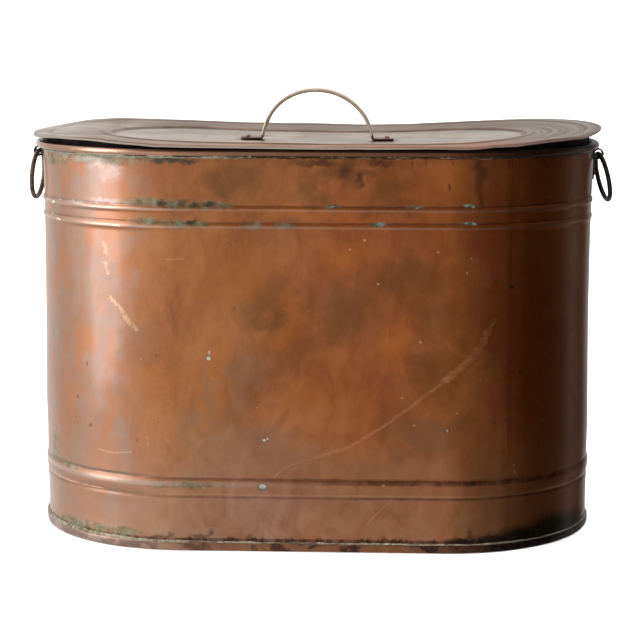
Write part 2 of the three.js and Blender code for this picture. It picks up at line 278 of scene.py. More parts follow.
def wall_swell(points):
    """Dents and swelling of the wall, outwards in millimetres."""
    x, z = points[:, 0], points[:, 2]
    tips = step(np.abs(x), 190, 250)
    fade = step(z, 18, 60) * (1 - step(z, 350, 383)) * (1 - 0.9 * tips)
    ends = step(x, 150, 275) * curve(z, RIGHT_SWELL, 12) + step(-x, 150, 275) * curve(z, LEFT_SWELL, 12)
    waves = 0.75 * wobble(points, 210, 11) + 0.24 * wobble(points, 85, 12) + 0.07 * wobble(points, 34, 13)
    return ends + fade * waves


def seam_step(s, start):
    """The sheet that ends at a lap lies over the one that starts there."""
    length = PLAN_LENGTH / 2
    after = s - start
    return 0.42 * step(after, length - 15, length - 3) - 0.35 * (1 - step(after, 2, 16))


def lap_fade(z):
    """The lap is pressed flat towards the foot and the rim."""
    return step(z, 12, 20) * (1 - step(z, 378, 385))


def rim_arc(radius, turns):
    return np.stack([RIM_CENTRE + radius * np.cos(turns), RIM_Z + radius * np.sin(turns)], -1)


def rim_waver(points):
    """Slight unevenness of the rolled rim, outwards and upwards in millimetres."""
    flat = points * [1, 1, 0]
    out = 0.2 * wobble(flat, 150, 21) + 0.07 * wobble(flat, 45, 22) - 0.3
    out -= 1.2 * step(points[:, 0], 200, 285)
    return out, 0.14 * wobble(flat, 170, 23) - 0.16


def lap_strip(start):
    """The edge of a sheet, tucked in behind the end of the other one."""
    s = start + np.linspace(-LAP_WIDTH, 1.0, 12)
    z = wall_rows()
    z = z[(z > SEAM_HEIGHT + LAP_MARGIN) & (z < RIM_Z - RIM_OUTER - LAP_MARGIN)]
    face = wall_line(z) - SHEET - 0.05 + 0.43 * lap_fade(z)
    section = np.concatenate([np.stack([face, z], -1), np.stack([face - LAP_THICK, z], -1)[::-1]])
    points = swept(s, *section.T)
    grid = points.shape[:2]
    push_out(points, s, wall_swell(points.reshape(-1, 3)).reshape(grid))
    return points.reshape(-1, 3), capped_faces(*grid), capped_slots(*grid, len(z))


def body_sheet(name, node, start, materials):
    length = PLAN_LENGTH / 2
    near = np.array([0.3, 1.0, 2.2, 4.0, 6.5, 9.5, 13.0])
    inner = np.linspace(16, length - 16, int((length - 32) / 3.2))
    s = start + np.concatenate([near, inner, length - near[::-1]])
    z = wall_rows()
    line = wall_line(z)
    turns = np.radians(np.linspace(180, RIM_END, 30))
    section = np.concatenate([
        np.stack([line, z], -1), rim_arc(RIM_CENTRE, turns), rim_arc(RIM_OUTER, turns)[::-1],
        np.stack([line - SHEET, z], -1)[::-1],
    ])
    points = swept(s, *section.T)
    grid = points.shape[:2]
    heights = points[..., 2].copy()
    flat = points.reshape(-1, 3)
    rim = step(heights, 380, 386)
    push = wall_swell(flat).reshape(grid) + lap_fade(heights) * seam_step(s, start)[:, None]
    push += rim * rim_waver(flat)[0].reshape(grid)
    push_out(points, s, push)
    points[..., 2] += rim * rim_waver(flat)[1].reshape(grid)
    lining = len(z) + 2 * len(turns) - 6
    lap_points, lap_faces, lap_slots = lap_strip(start)
    faces = capped_faces(*grid) + [[corner + len(flat) for corner in face] for face in lap_faces]
    slots = np.append(capped_slots(*grid, lining), lap_slots)
    points = np.concatenate([flat, lap_points])
    piece(name, node, "boiler", points, faces, materials, sharp=40.0, face_slots=slots)


def closed_run(name, node, slot, s, offsets, heights, materials, waver=False):
    """A closed section that runs all round the wall."""
    points = swept(s, offsets, heights)
    grid = points.shape[:2]
    if waver:
        out, up = (w.reshape(grid) for w in rim_waver(points.reshape(-1, 3)))
        push_out(points, s, out)
        points[..., 2] += up
    piece(name, node, "boiler", points, grid_faces(*grid, True, True), materials, sharp=40.0)


def rim_wire(materials):
    section = rim_arc(RIM_WIRE, np.linspace(0, 2 * math.pi, 16, endpoint=False))
    closed_run("rim_wire_round", "rim_wire", "iron", round_stations(6.0), *section.T, materials, waver=True)


def rim_solder(materials):
    """Solder that fills the hollow under the rolled rim, fuller at the left end."""
    s = round_stations(1.6)
    place = wall_places(s)
    left = step(-place[:, 0], 90, 180)
    reach = 6.35 + 0.75 * left + 0.12 * wobble(place, 26, 31) + 0.08 * wobble(place, 9, 32)
    drop = 2.6 + 0.5 * left + 0.5 * wobble(place, 38, 33) + 0.3 * wobble(place, 12, 34)
    reach = np.minimum(reach, RIM_CENTRE + RIM_OUTER - 0.15)
    top = RIM_SOLDER_TOP + 1.5 * left
    low = RIM_SOLDER_LOW - np.clip(drop, 1.4, 4.4)
    tall = top - low
    offsets = columns(s, -0.2, 0.12, 0.35 * reach, 0.75 * reach, reach, 0.94 * reach, -0.2)
    heights = columns(s, low - 0.6, low, low + 0.3 * tall, low + 0.62 * tall, top - 0.4, top, top)
    closed_run("rim_solder_run", "rim_solder", "solder", s, offsets, heights, materials, waver=True)


def seam_solder(materials):
    s = round_stations(1.6)
    place = wall_places(s)
    left = step(-place[:, 0], 60, 200) * (place[:, 1] < 0)
    rise = 1.0 + 1.4 * left + 0.3 * wobble(place, 44, 41) + 0.25 * wobble(place, 13, 42)
    rise = np.clip(rise + 0.12 * wobble(place, 5, 43), 0.5, 4.0)
    out = np.clip(1.9 + 0.25 * wobble(place, 30, 44) + 0.15 * wobble(place, 8, 45), 1.2, 2.2)
    base = SEAM_HEIGHT - 0.5
    top = base + rise
    offsets = columns(s, -0.3, out, 0.94 * out, 0.55 * out, 0.4, 0.1, -0.3)
    heights = columns(s, base, base, base + 0.6, base + 0.5 * rise, top, top + 0.5, top + 0.5)
    closed_run("bottom_solder_run", "bottom_seam_solder", "solder", s, offsets, heights, materials)


def bottom_pan(materials):
    s = round_stations(3.0)
    place = wall_places(s)
    offsets, heights = np.array(BOTTOM).T
    edge = step(offsets, 0.8, 2.0)
    left = step(-place[:, 0], 120, 270)[:, None]
    offsets = offsets + edge * (0.16 * wobble(place, 60, 51) + 0.08 * wobble(place, 16, 52))[:, None]
    offsets = offsets - edge * left * 0.3
    points = swept(s, offsets, heights)
    faces = grid_faces(*points.shape[:2], True, False)
    piece("bottom_pan_folded", "bottom_pan", "boiler", points, faces, materials, sharp=40.0)


# Sweeps of a rounded bar along a path

def bar_along(path, across, sections):
    """Points of a bar, from a path (n, 3), its side (3,) and sections (n, m, 2) as sideways and up."""
    way = np.gradient(path, axis=0)
    way /= np.linalg.norm(way, axis=1)[:, None]
    up = np.cross(way, across)
    up /= np.linalg.norm(up, axis=1)[:, None]
    return path[:, None, :] + sections[..., :1] * across + sections[..., 1:] * up[:, None, :]


def upright_path(line):
    """A path in the plane of X and Z, from points of x and z."""
    return np.stack([line[:, 0], 0 * line[:, 0], line[:, 1]], -1)


def strap_section(width, thick, crown=0.0, steps=5):
    """A flat strap with rounded edges: an array of (sideways, up)."""
    radius = thick / 2
    half = width / 2 - radius
    points = []
    for side in (1, -1):
        for k in range(steps + 1):
            turn = math.radians(-90 + 180 * k / steps)
            points.append((side * (half + radius * math.cos(turn)), side * radius * math.sin(turn)))
        inner = np.linspace(side * half, -side * half, 9)[1:-1]
        points += [(x, side * radius) for x in inner]
    points = np.array(points)
    points[:, 1] += crown * (1 - (points[:, 0] / (width / 2)) ** 2)
    return points


def placed(points, matrix):
    points = np.asarray(points, float)
    flat = points.reshape(-1, 3)
    flat = np.c_[flat, np.ones(len(flat))]
    return (flat @ np.array(matrix).T)[:, :3].reshape(points.shape)


def lug(side_name, materials):
    radius = LUG_OUTER - LUG_STRAP / 2
    middle = GAP + LUG_STRAP / 2
    centre = GAP + LUG_OUTER
    meet = -math.acos((LUG_STRAP - LUG_OUTER) / LUG_OUTER) + 0.1
    rise = [(middle, LUG_Z - LUG_TAIL + k * LUG_TAIL / 10) for k in range(10)]
    turns = np.linspace(math.pi, meet, 30)
    loop = [(centre + radius * math.cos(t), LUG_Z + radius * math.sin(t)) for t in turns]
    path = upright_path(np.array(rise + loop))
    path[:, 0] += WALL_END
    along = np.r_[0, np.cumsum(np.linalg.norm(np.diff(path, axis=0), axis=1))]
    width = LUG_WIDTH * (1 - 0.42 * (1 - step(along, 0, 3.5)) ** 2) + 0.25 * wobble(path, 14, 61)
    sections = np.stack([strap_section(w, LUG_STRAP * 0.97) for w in width])
    points = bar_along(path, np.array([0.0, -1.0, 0.0]), sections)
    if SIDES[side_name] < 0:
        points[..., :2] *= -1
    faces = capped_faces(*points.shape[:2])
    node = f"lug_{side_name}"
    piece(f"{node}_strap", node, "boiler", points, faces, materials, sharp=50.0)


def ring(side_name, materials):
    side = SIDES[side_name]
    turns = np.linspace(0, 2 * math.pi, 120, endpoint=False)
    around = np.linspace(0, 2 * math.pi, 20, endpoint=False)
    joint = np.exp(-((turns - math.radians(62)) / 0.025) ** 2)
    place = np.stack([0 * turns, np.cos(turns), np.sin(turns)], -1) * RING_RADIUS
    wire = RING_WIRE * (0.985 - 0.12 * joint) + 0.05 * wobble(place, 20, 71 + side)
    wire = np.minimum(wire, RING_WIRE)[:, None]
    reach = RING_RADIUS - 0.2 + 0.1 * wobble(place, 55, 75 + side)
    radial = reach[:, None] + wire * np.cos(around)
    points = np.stack([
        wire * np.sin(around),
        radial * np.cos(turns)[:, None],
        radial * np.sin(turns)[:, None] - RING_RADIUS,
    ], -1)
    move = Matrix.Translation((side * LUG_X, 0, LUG_Z))
    tilt = Matrix.Rotation(-side * math.radians(RING_TILTS[side_name]), 4, "Y")
    twist = Matrix.Rotation(side * math.radians(RING_TWISTS[side_name]), 4, "Z")
    points = placed(points, move @ tilt @ twist)
    faces = grid_faces(*points.shape[:2], True, True)
    node = f"ring_{side_name}"
    piece(f"{node}_wire", node, f"{side_name}_ring", points, faces, materials, sharp=60.0)


def rivet(node, body, matrix, grip, seed, materials):
    """A domed rivet along +Y, with the underside of its head at the origin."""
    shank, head, tall = RIVET_SHANK, RIVET_HEAD, RIVET_DOME
    profile = [
        (0, tall), (0.25 * head, 0.985 * tall), (0.5 * head, 0.88 * tall), (0.72 * head, 0.68 * tall),
        (0.88 * head, 0.42 * tall), (0.97 * head, 0.18 * tall), (head, 0.02), (0.96 * head, -0.05),
        (shank, -0.05), (shank, -grip), (2.1, -grip), (2.3, -grip - 0.3), (2.0, -grip - 0.7),
        (0, -grip - 0.8),
    ]
    turns = np.linspace(0, 2 * math.pi, 28, endpoint=False)
    rng = np.random.default_rng(seed)
    squash = 1 - 0.05 * rng.random()
    lean = rng.uniform(0, 2 * math.pi)
    points = []
    for radius, y in profile:
        for t in turns:
            r = radius * (1 - 0.04 * abs(math.sin(2 * (t + lean)))) * squash
            points.append((r * math.cos(t), y, r * math.sin(t)))
    faces = grid_faces(len(profile), len(turns), False, True)
    piece(f"{node}_domed", node, body, placed(points, matrix), faces, materials, sharp=50.0)


def lug_rivets(materials):
    grip = 3 * GAP + LUG_STRAP + SHEET
    seat = Matrix.Translation((0, 2 * GAP + LUG_STRAP, 0))
    for side_name, side in SIDES.items():
        turn = Matrix.Rotation(-side * math.pi / 2, 4, "Z")
        for k, drop in enumerate(LUG_RIVET_DROPS):
            place = Matrix.Translation((side * WALL_END, 0, LUG_Z - drop))
            node = f"lug_rivet_{side_name}_{k + 1}"
            rivet(node, "boiler", place @ turn @ seat, grip, 80 + k + side, materials)


# Lid

# Upper face of the lid: distance in from its edge, and height over its seat
LID_TOP = [
    (0.9, 1.9), (2.5, 1.95), (5.0, 1.86), (7.5, 1.9), (10.2, 1.9), (12.0, 1.72), (13.6, 1.3), (15.2, 1.1),
    (52.5, -0.72), (54.0, -0.76), (55.4, -0.5), (57.0, 0.05), (58.8, 0.3), (61.4, 0.28), (63.0, 0.0),
    (64.4, -0.8), (65.8, -1.5), (67.2, -1.9), (69.0, -2.0), (125.0, -3.62), (132.0, -3.7), (156.6, -3.7),
]
# Turned edge of the lid, from below to above
HEM = [
    (6.2, 1.08), (6.2, 0.02), (3.0, -0.02), (1.0, 0.0), (0.35, 0.2), (0.06, 0.55), (0, 0.95), (0.06, 1.35),
    (0.4, 1.75),
]
LID_PANEL = -3.7
LID_LOW_X = 20.0
LID_BACK_RISE = 1.6
LID_REACH_BEND = 400.0
LID_BACK_BEND = 0.9
LID_TIP_DROOP = 4.2
LID_LIP = 1.1
LEFT_BEND = (120.0, 0.04, 0.01)
RIGHT_BEND = (350.0, 0.129, 0.052)
# Bent places of the lid: x, y, half-widths along x and y, and height
LID_BENDS = [
    (150, -157, 24, 30, -1.2), (230, -124, 20, 22, 0.7), (268, -84, 14, 20, -1.2), (-214, -133, 26, 26, 1.1),
    (-125, -158, 40, 30, -0.8), (-222, 130, 30, 30, 0.9), (-10, 160, 40, 45, 1.2),
]
# Small knocks along its edge: x, y, size and height
LID_KNOCKS = [
    (196, -146, 7, -0.9), (172, -150, 5, 0.4), (-150, -156, 9, -0.4), (40, -157, 8, 0.3), (95, 157, 8, -0.4),
    (-60, 158, 10, 0.4),
]
# How far the bead and the middle are drawn in at the two ends, and over which x and distances in
DRAWN_RIGHT = 10.0
DRAWN_LEFT = 11.0
DRAWN_FROM = (130, 215)
DRAWN_INSET = (18, 50)
DRAWN_BACK = (95, 150)


def lid_lift(x, y):
    """Height of the bent lid over its seat, as in the solids."""
    left = x < LID_LOW_X
    length, slope, skew = (np.where(left, a, b) for a, b in zip(LEFT_BEND, RIGHT_BEND))
    back = y / LID_REACH
    along = np.hypot(x - LID_LOW_X, length) - length
    ends = (slope + skew * back) * LID_REACH_BEND * np.tanh(along / LID_REACH_BEND)
    return ends + LID_BACK_RISE * (1 + back) / 2


def lid_bend(x, y):
    """Larger bends of the lid on top of its lift: a drooping left tip and a few bent places."""
    total = LID_BACK_BEND * step(y, 20, 150) - LID_TIP_DROOP * step(-x, 243, 290)
    for bx, by, wide, deep, height in LID_BENDS:
        total = total + height * np.exp(-((x - bx) / wide) ** 2 - ((y - by) / deep) ** 2)
    return total


def bead_shift(points, inset):
    """How far the bead and the sunk middle are drawn in at the lid's two ends."""
    x = points[:, 0]
    ends = DRAWN_RIGHT * step(x, *DRAWN_FROM) + DRAWN_LEFT * step(-x, *DRAWN_FROM)
    return ends * step(inset, *DRAWN_INSET) * (1 - step(inset, *DRAWN_BACK))


def tip_reach(turn):
    """How far the bent lid's tips reach past its even outline, by the cosine of the plan's direction."""
    return 3.0 * step(-turn, 0.6, 1.0) + 1.4 * step(turn, 0.6, 1.0)


def lid_dents(points, inset):
    """Waves and knocks of the lid, upwards in millimetres."""
    flat = points * [1, 1, 0]
    x, y = points[:, 0], points[:, 1]
    waves = 0.2 * wobble(flat, 190, 91) + 0.12 * wobble(flat, 70, 92) + 0.035 * wobble(flat, 26, 93)
    waves *= step(np.hypot(np.maximum(np.abs(x) - 60, 0), y), 20, 50)
    inner = step(inset, 3, 40)
    edge = 1 - step(inset, 0, 22)
    knocks = -LID_LIP * (1 - step(inset, 0.2, 1.6)) * step(-y, 0, 60)
    for knock_x, knock_y, size, height in LID_KNOCKS:
        away = np.hypot(x - knock_x, y - knock_y) / size
        knocks += height * np.exp(-away ** 2)
    return waves * (0.35 + 0.65 * inner) + knocks * (0.3 + 0.7 * edge)


def lid_sheet(materials):
    s = round_stations(3.4)
    inset = np.unique(np.round(np.concatenate([
        np.arange(0.9, 19, 0.7), np.arange(19, 52, 3.0), np.arange(52, 84, 0.8), np.arange(84, 154, 4.0),
        [LID_REACH],
    ]), 2))
    top = curve(inset, LID_TOP, 0.5)
    under = np.stack([inset, top - SHEET], -1)[inset > 6.4][::-1]
    section = np.concatenate([under, HEM, np.stack([inset, top], -1)])
    hidden = len(under) + 4
    edge = 1 - step(section[:, 0], 0, 60)
    offsets = LID_EDGE - section[:, 0] + edge * tip_reach(plan(s)[1])[:, None]
    points = swept(s, offsets, section[:, 1])
    grid = points.shape[:2]
    flat = points.reshape(-1, 3)
    inset = np.tile(section[:, 0], len(s))
    rise = lid_lift(flat[:, 0], flat[:, 1]) + lid_bend(flat[:, 0], flat[:, 1]) + lid_dents(flat, inset)
    rise += curve(inset - bead_shift(flat, inset), LID_TOP, 0.5) - curve(inset, LID_TOP, 0.5)
    points[..., 2] += LID_SEAT + rise.reshape(grid)
    faces = grid_faces(*grid, True, False)
    # The underside and the inner fold of the hem take the near-black painted shade
    slots = np.where(faces[:, 0] % grid[1] < hidden, 1, 0)
    piece("lid_sheet", "lid_panel", "lid", points, faces, materials, 50.0, face_slots=slots)


def lid_collar(materials):
    flange = LID_SEAT + LID_HEM - 0.8 - SHEET - GAP
    outer, inner = COLLAR_OFFSET, COLLAR_OFFSET - SHEET
    section = np.array([
        (outer, flange), (outer, flange - 12), (outer, flange - 23.4), (outer - 0.4, flange - COLLAR_HEIGHT),
        (inner, flange - 23.4), (inner, flange - 12), (inner, flange - SHEET), (-9, flange - SHEET),
        (-9, flange),
    ])
    points = swept(round_stations(5.0), *section[::-1].T)
    points[..., 2] += lid_lift(points[..., 0], points[..., 1]) + lid_bend(points[..., 0], points[..., 1])
    faces = grid_faces(*points.shape[:2], True, True)
    piece("lid_collar_band", "lid_collar", "lid", points, faces, materials, sharp=40.0)


def handle_matrix():
    panel = LID_SEAT + LID_PANEL
    left, right = (panel + float(lid_lift(x, 0.0)) for x in (-FOOT_END, FOOT_END))
    seat = (left + right) / 2 + GAP
    turn = math.atan2(left - right, 2 * FOOT_END)
    return Matrix.Translation((0, 0, seat)) @ Matrix.Rotation(turn, 4, "Y")


def handle_line():
    """The middle of the handle's strap, as x and z over the lid."""
    low = HANDLE_THICK / 2
    half = HANDLE_SPAN / 2 - low
    turns = np.linspace(math.pi - 0.09, 0.09, 90)
    arch = np.stack([half * np.cos(turns), (HANDLE_RISE - low) * np.sin(turns)], -1)
    bend = HANDLE_BEND
    out = half + bend
    turns = np.radians(np.linspace(84, 0, 9))
    corner = [(out - bend * math.sin(t), low + bend - bend * math.cos(t)) for t in turns]
    foot = [(x, low) for x in np.linspace(out + 0.8, FOOT_END - 0.2, 14)]
    right = np.array(corner + foot)
    return np.concatenate([right[::-1] * [-1, 1], arch, right])


def lid_handle(materials):
    line = handle_line()
    path = upright_path(line)
    reach = np.abs(line[:, 0])
    tip = np.clip((reach - (FOOT_END - 0.2 - 5)) / 5, 0, 1)
    rounding = 1 - np.sqrt(np.maximum(1 - tip ** 2, 0))
    width = HANDLE_WIDTH * (1 - 0.3 * rounding) + 0.15 * wobble(path, 40, 101)
    width -= 1.2 * np.exp(-((reach - 57) / 5) ** 2)
    arched = step(line[:, 1], 5, 16)
    thick = HANDLE_THICK + HANDLE_SWELL * arched
    sections = np.stack([strap_section(w, t, -0.5 * a) for w, t, a in zip(width, thick, arched)])
    sections[..., 1] -= (HANDLE_SWELL * arched / 2)[:, None]
    points = bar_along(path, np.array([0.0, 1.0, 0.0]), sections)
    grid = points.shape[:2]
    points[..., 0] -= HANDLE_LEAN * step(points[..., 2], 8, 46)
    lean = 0.35 * wobble(points.reshape(-1, 3), 90, 102).reshape(grid)
    points[..., 1] += lean * step(points[..., 2], 5, 30)
    points = placed(points, handle_matrix())
    faces = capped_faces(*grid)
    piece("lid_handle_strap", "lid_handle", "lid", points, faces, materials, sharp=60.0)


def lid_rivets(materials):
    grip = HANDLE_THICK + 3 * GAP + SHEET
    ends = HANDLE_SPAN / 2 + LID_RIVET_OUT
    places = [(end * ends, side * LID_RIVET_SIDE) for end in (-1, 1) for side in (-1, 1)]
    for k, (x, y) in enumerate(places):
        stand = Matrix.Translation((x, y, HANDLE_THICK + GAP)) @ Matrix.Rotation(math.pi / 2, 4, "X")
        rivet(f"lid_rivet_{k + 1}", "lid", handle_matrix() @ stand, grip, 110 + k, materials)


# Materials

class Tree:
    """A small builder of shader nodes. A value is a number, a colour or the output of a node."""

    def __init__(self, tree):
        self.tree = tree
        tree.nodes.clear()

    def node(self, kind, inputs=None, **settings):
        made = self.tree.nodes.new(kind)
        for key, value in settings.items():
            setattr(made, key, value)
        for key, value in (inputs or {}).items():
            self.feed(made.inputs[key], value)
        return made

    def feed(self, socket, value):
        if isinstance(value, bpy.types.NodeSocket):
            self.tree.links.new(value, socket)
        elif isinstance(value, tuple) and len(value) == 3 and socket.type == "RGBA":
            socket.default_value = (*value, 1)
        else:
            socket.default_value = value

    def vector(self, operation, a, b):
        return self.node("ShaderNodeVectorMath", {0: a, 1: b}, operation=operation).outputs[0]

    def length(self, vector):
        return self.node("ShaderNodeVectorMath", {0: vector}, operation="LENGTH").outputs["Value"]

    def math(self, operation, a, b=0.0):
        return self.node("ShaderNodeMath", {0: a, 1: b}, operation=operation).outputs[0]

    def chained(self, operation, values):
        total = values[0]
        for value in values[1:]:
            total = self.math(operation, total, value)
        return total

    def times(self, *values):
        return self.chained("MULTIPLY", values)

    def top(self, *values):
        return self.chained("MAXIMUM", values)

    def weighed(self, *layers):
        """The sum of some layers, each a value and its weight."""
        parts = [self.times(value, weight) for value, weight in layers]
        total = parts.pop()
        while parts:
            total = self.math("ADD", parts.pop(), total)
        return total

    def step(self, value, low, high):
        made = self.node("ShaderNodeMapRange", {"Value": value, "From Min": low, "From Max": high},
                         interpolation_type="SMOOTHSTEP")
        return made.outputs[0]

    def scale(self, value, low, high, to_low, to_high):
        made = self.node("ShaderNodeMapRange", {"Value": value, "From Min": low, "From Max": high,
                                                "To Min": to_low, "To Max": to_high})
        return made.outputs[0]

    def near(self, value, middle, half, soft):
        """1 where value lies within half of middle, fading out over soft."""
        away = self.math("ABSOLUTE", self.math("SUBTRACT", value, middle))
        return self.step(away, half + soft, half)

    def ramp(self, value, stops):
        made = self.node("ShaderNodeValToRGB", {0: value})
        stack = made.color_ramp.elements
        while len(stack) < len(stops):
            stack.new(0.5)
        for element, (place, colour) in zip(stack, stops):
            element.position = place
            element.color = (*colour, 1)
        return made.outputs[0]

    def mix(self, share, a, b, blend="MIX"):
        inputs = {0: share, 6: a, 7: b}
        return self.node("ShaderNodeMix", inputs, data_type="RGBA", blend_type=blend).outputs[2]

    def blend(self, share, a, b):
        return self.node("ShaderNodeMix", {0: share, 2: a, 3: b}, data_type="FLOAT").outputs[0]


class Shade(Tree):
    """A material whose colour is laid on in coats. Places are read in millimetres."""

    def __init__(self, name):
        self.material = bpy.data.materials.new(name)
        self.material.use_nodes = True
        super().__init__(self.material.node_tree)
        place = self.node("ShaderNodeTexCoord").outputs["Object"]
        self.place = self.vector("MULTIPLY", place, (1 / MM, 1 / MM, 1 / MM))
        self.x, self.y, self.z = self.node("ShaderNodeSeparateXYZ", {0: self.place}).outputs

    def coat(self, share, colour, blend="MIX"):
        """Lays a colour over what is there, by its share."""
        self.colour = self.mix(share, self.colour, colour, blend)

    def shifted(self, place, shift):
        return self.vector("ADD", place, (shift, shift * 1.7, shift * 0.6))

    def noise(self, size, detail=3.0, rough=0.55, stretch=(1, 1, 1), twist=0.0, shift=0.0):
        place = self.vector("MULTIPLY", self.place, stretch)
        if shift:
            place = self.shifted(place, shift)
        made = self.node("ShaderNodeTexNoise", {"Vector": place, "Scale": 1 / size, "Detail": detail,
                                                "Roughness": rough, "Distortion": twist})
        return made.outputs["Fac"]

    def dots(self, size, shift, radius, soft):
        """1 within small dots, one to each cell of about size."""
        place = self.vector("ADD", self.place, (shift, shift, shift))
        made = self.node("ShaderNodeTexVoronoi", {"Vector": place, "Scale": 1 / size})
        return self.step(made.outputs["Distance"], radius + soft, radius)

    def roughened(self, size, reach, shift):
        """The place, shifted unevenly by up to reach, for uneven edges."""
        place = self.shifted(self.place, shift)
        made = self.node("ShaderNodeTexNoise", {"Vector": place, "Scale": 1 / size, "Detail": 3.0,
                                                "Roughness": 0.6})
        moved = self.vector("SUBTRACT", made.outputs["Color"], (0.5, 0.5, 0.5))
        moved = self.vector("MULTIPLY", moved, (2 * reach, 0, 2 * reach))
        return self.vector("ADD", self.place, moved)

    def blots(self, spots, place, soft):
        """1 within the nearest of some spots, each x, z and its half-widths, fading out at the edge."""
        nearest = None
        for x, z, wide, tall in spots:
            inputs = {0: place, 1: (1 / wide, 0, 1 / tall), 2: (-x / wide, 0, -z / tall)}
            away = self.node("ShaderNodeVectorMath", inputs, operation="MULTIPLY_ADD").outputs[0]
            away = self.length(away)
            nearest = away if nearest is None else self.math("MINIMUM", nearest, away)
        return self.step(nearest, 1.0 + soft, 1.0 - soft)

    def stroke(self, points, width, place):
        """1 on a line through points, each x and z, fading out over its width."""
        split = self.node("ShaderNodeSeparateXYZ", {0: place})
        u, v = split.outputs[0], split.outputs[2]
        marks = []
        for (u0, v0), (u1, v1) in zip(points[:-1], points[1:]):
            length = math.hypot(u1 - u0, v1 - v0)
            du, dv = (u1 - u0) / length, (v1 - v0) / length
            from_u = self.math("SUBTRACT", u, u0)
            from_v = self.math("SUBTRACT", v, v0)
            along = self.math("ADD", self.times(from_u, du), self.times(from_v, dv))
            aside = self.math("ADD", self.times(from_u, -dv), self.times(from_v, du))
            inside = self.near(along, length / 2, length / 2, width * 0.5)
            marks.append(self.times(inside, self.near(aside, 0.0, width * 0.3, width * 0.6)))
        return self.top(*marks)

    def bump(self, *layers):
        """A normal from layers, each a height and how far it stands out, in millimetres."""
        normal = None
        for height, distance in layers:
            inputs = {"Height": height, "Distance": distance * MM, "Strength": 1.0}
            if normal is not None:
                inputs["Normal"] = normal
            normal = self.node("ShaderNodeBump", inputs).outputs[0]
        return normal

    def finish(self, **inputs):
        surface = self.node("ShaderNodeBsdfPrincipled")
        for key, value in {"Base_Color": self.colour, **inputs}.items():
            self.feed(surface.inputs[key.replace("_", " ")], value)
        self.node("ShaderNodeOutputMaterial", {0: surface.outputs[0]})
        return self.material


# Colours of the wall, and the films, dirt and crusts on it, with painted light at the left end and painted
# shade towards the right
COPPER_DARK = (0.47, 0.148, 0.036)
COPPER_MIDDLE = (0.60, 0.205, 0.050)
COPPER_LIGHT = (0.70, 0.260, 0.070)
RED_PAINTED_SHADE = (0.20, 0.045, 0.012)
PALE_LEFT_PAINTED_LIGHT = (0.54, 0.35, 0.26)
WARM_PANE = (0.68, 0.27, 0.11)
DULL_PANE = (0.50, 0.38, 0.29)
LOW_FILM = (0.66, 0.38, 0.25)
REDDER_RIGHT_SHADE = (1.0, 0.85, 0.70)
RIGHT_TIP_PAINTED_SHADE = (0.13, 0.06, 0.04)
BACK_FILM = (0.36, 0.21, 0.13)
RED_DIRT = (0.135, 0.035, 0.018)
DIRT = (0.050, 0.018, 0.012)
CHALK = [(0.38, (0.026, 0.028, 0.018)), (0.5, (0.052, 0.060, 0.042)), (0.62, (0.092, 0.106, 0.080))]
THIN_GREEN = [(0.36, (0.22, 0.20, 0.10)), (0.5, (0.36, 0.34, 0.20)), (0.64, (0.52, 0.54, 0.40))]
DARK_GREEN_LIT_LEFT = (0.085, 0.080, 0.035)
DARK_GREEN_SHADED_RIGHT = (0.020, 0.024, 0.014)
HIGHLIGHT_WHITE = (0.84, 0.76, 0.74)
CREAM = (0.26, 0.235, 0.165)
PALE_GREY = (0.22, 0.21, 0.165)
BLUE_GREEN = (0.10, 0.125, 0.10)
LEAF_GREEN = (0.04, 0.07, 0.035)
CREST_WEAR_AND_HIGHLIGHT = (0.80, 0.56, 0.44)
WORN_LOW_CREST = (0.78, 0.40, 0.20)
PIT = (0.075, 0.055, 0.030)
BARE_SPECK = (0.95, 0.62, 0.40)
SCRATCH_LEFT = (1.0, 0.66, 0.40)
SCRATCH_RIGHT = (0.92, 0.40, 0.17)
# Painted shadow: black on the top of the rim under the lid
LID_SHADOW_BLACK = (0.026, 0.011, 0.007)
WALL_ROUGH = (0.54, 0.46)
WALL_COAT = 0.75
THIN_COAT = {"Coat_Roughness": 0.3, "Coat_IOR": 1.5}

# Heights on the wall where dirt gathers, where the copper is rubbed and a painted highlight lies on the
# crests, and where the shadow under the lid is painted
UPPER_CREASES = (338.9, 322.8)
UPPER_CRESTS = (335.0, 318.4)
LOWER_CREASES = (72.0, 53.6)
LOWER_CREST = 66.5
LOWER_CREST_FOOT = 56.2
RED_LINE = 69.4
DARK_LINE = 69.6
RIM_CREASE = 386.0
RIM_UNDERSIDE = (386.6, 387.4)
UNDER_LID_TOP = (390.1, 391.7)

# Marks on the front of the wall: x, z, and half-widths along x and z
GREEN_FILM = [
    (-258, 379, 16, 8), (-225, 384, 30, 6), (-190, 383, 22, 6), (-160, 385, 20, 4), (-168, 342, 12, 4),
    (-150, 342, 12, 4.5), (-128, 340, 14, 4.5), (-104, 340, 12, 4.5), (-84, 339, 8, 3),
    (-160, 323, 14, 3.5), (-128, 321, 16, 4), (-106, 321, 9, 3), (-56, 320, 10, 3), (-25, 320, 9, 2.5),
    (20, 339, 7, 2), (64, 322, 8, 2), (98, 339, 8, 1.2), (150, 340.6, 9, 1.7), (152, 323.4, 8, 1.5),
    (-124, 65.5, 42, 2.6), (-241, 71, 9, 3), (-262, 88, 4, 15), (-225, 15, 30, 5), (-182, 16, 14, 4),
]
GREEN_DARK = [
    (-134, 383, 13, 3), (-118, 381, 9, 2.6), (-146, 381, 6, 3), (-142, 340.5, 5, 2.4), (-112, 340, 5, 2.6),
    (-97, 340.5, 6, 2.4), (-116, 323, 5, 2.2), (150, 12, 16, 2.6), (180, 13, 24, 4.5), (206, 14, 24, 8),
    (236, 16, 22, 13),
]
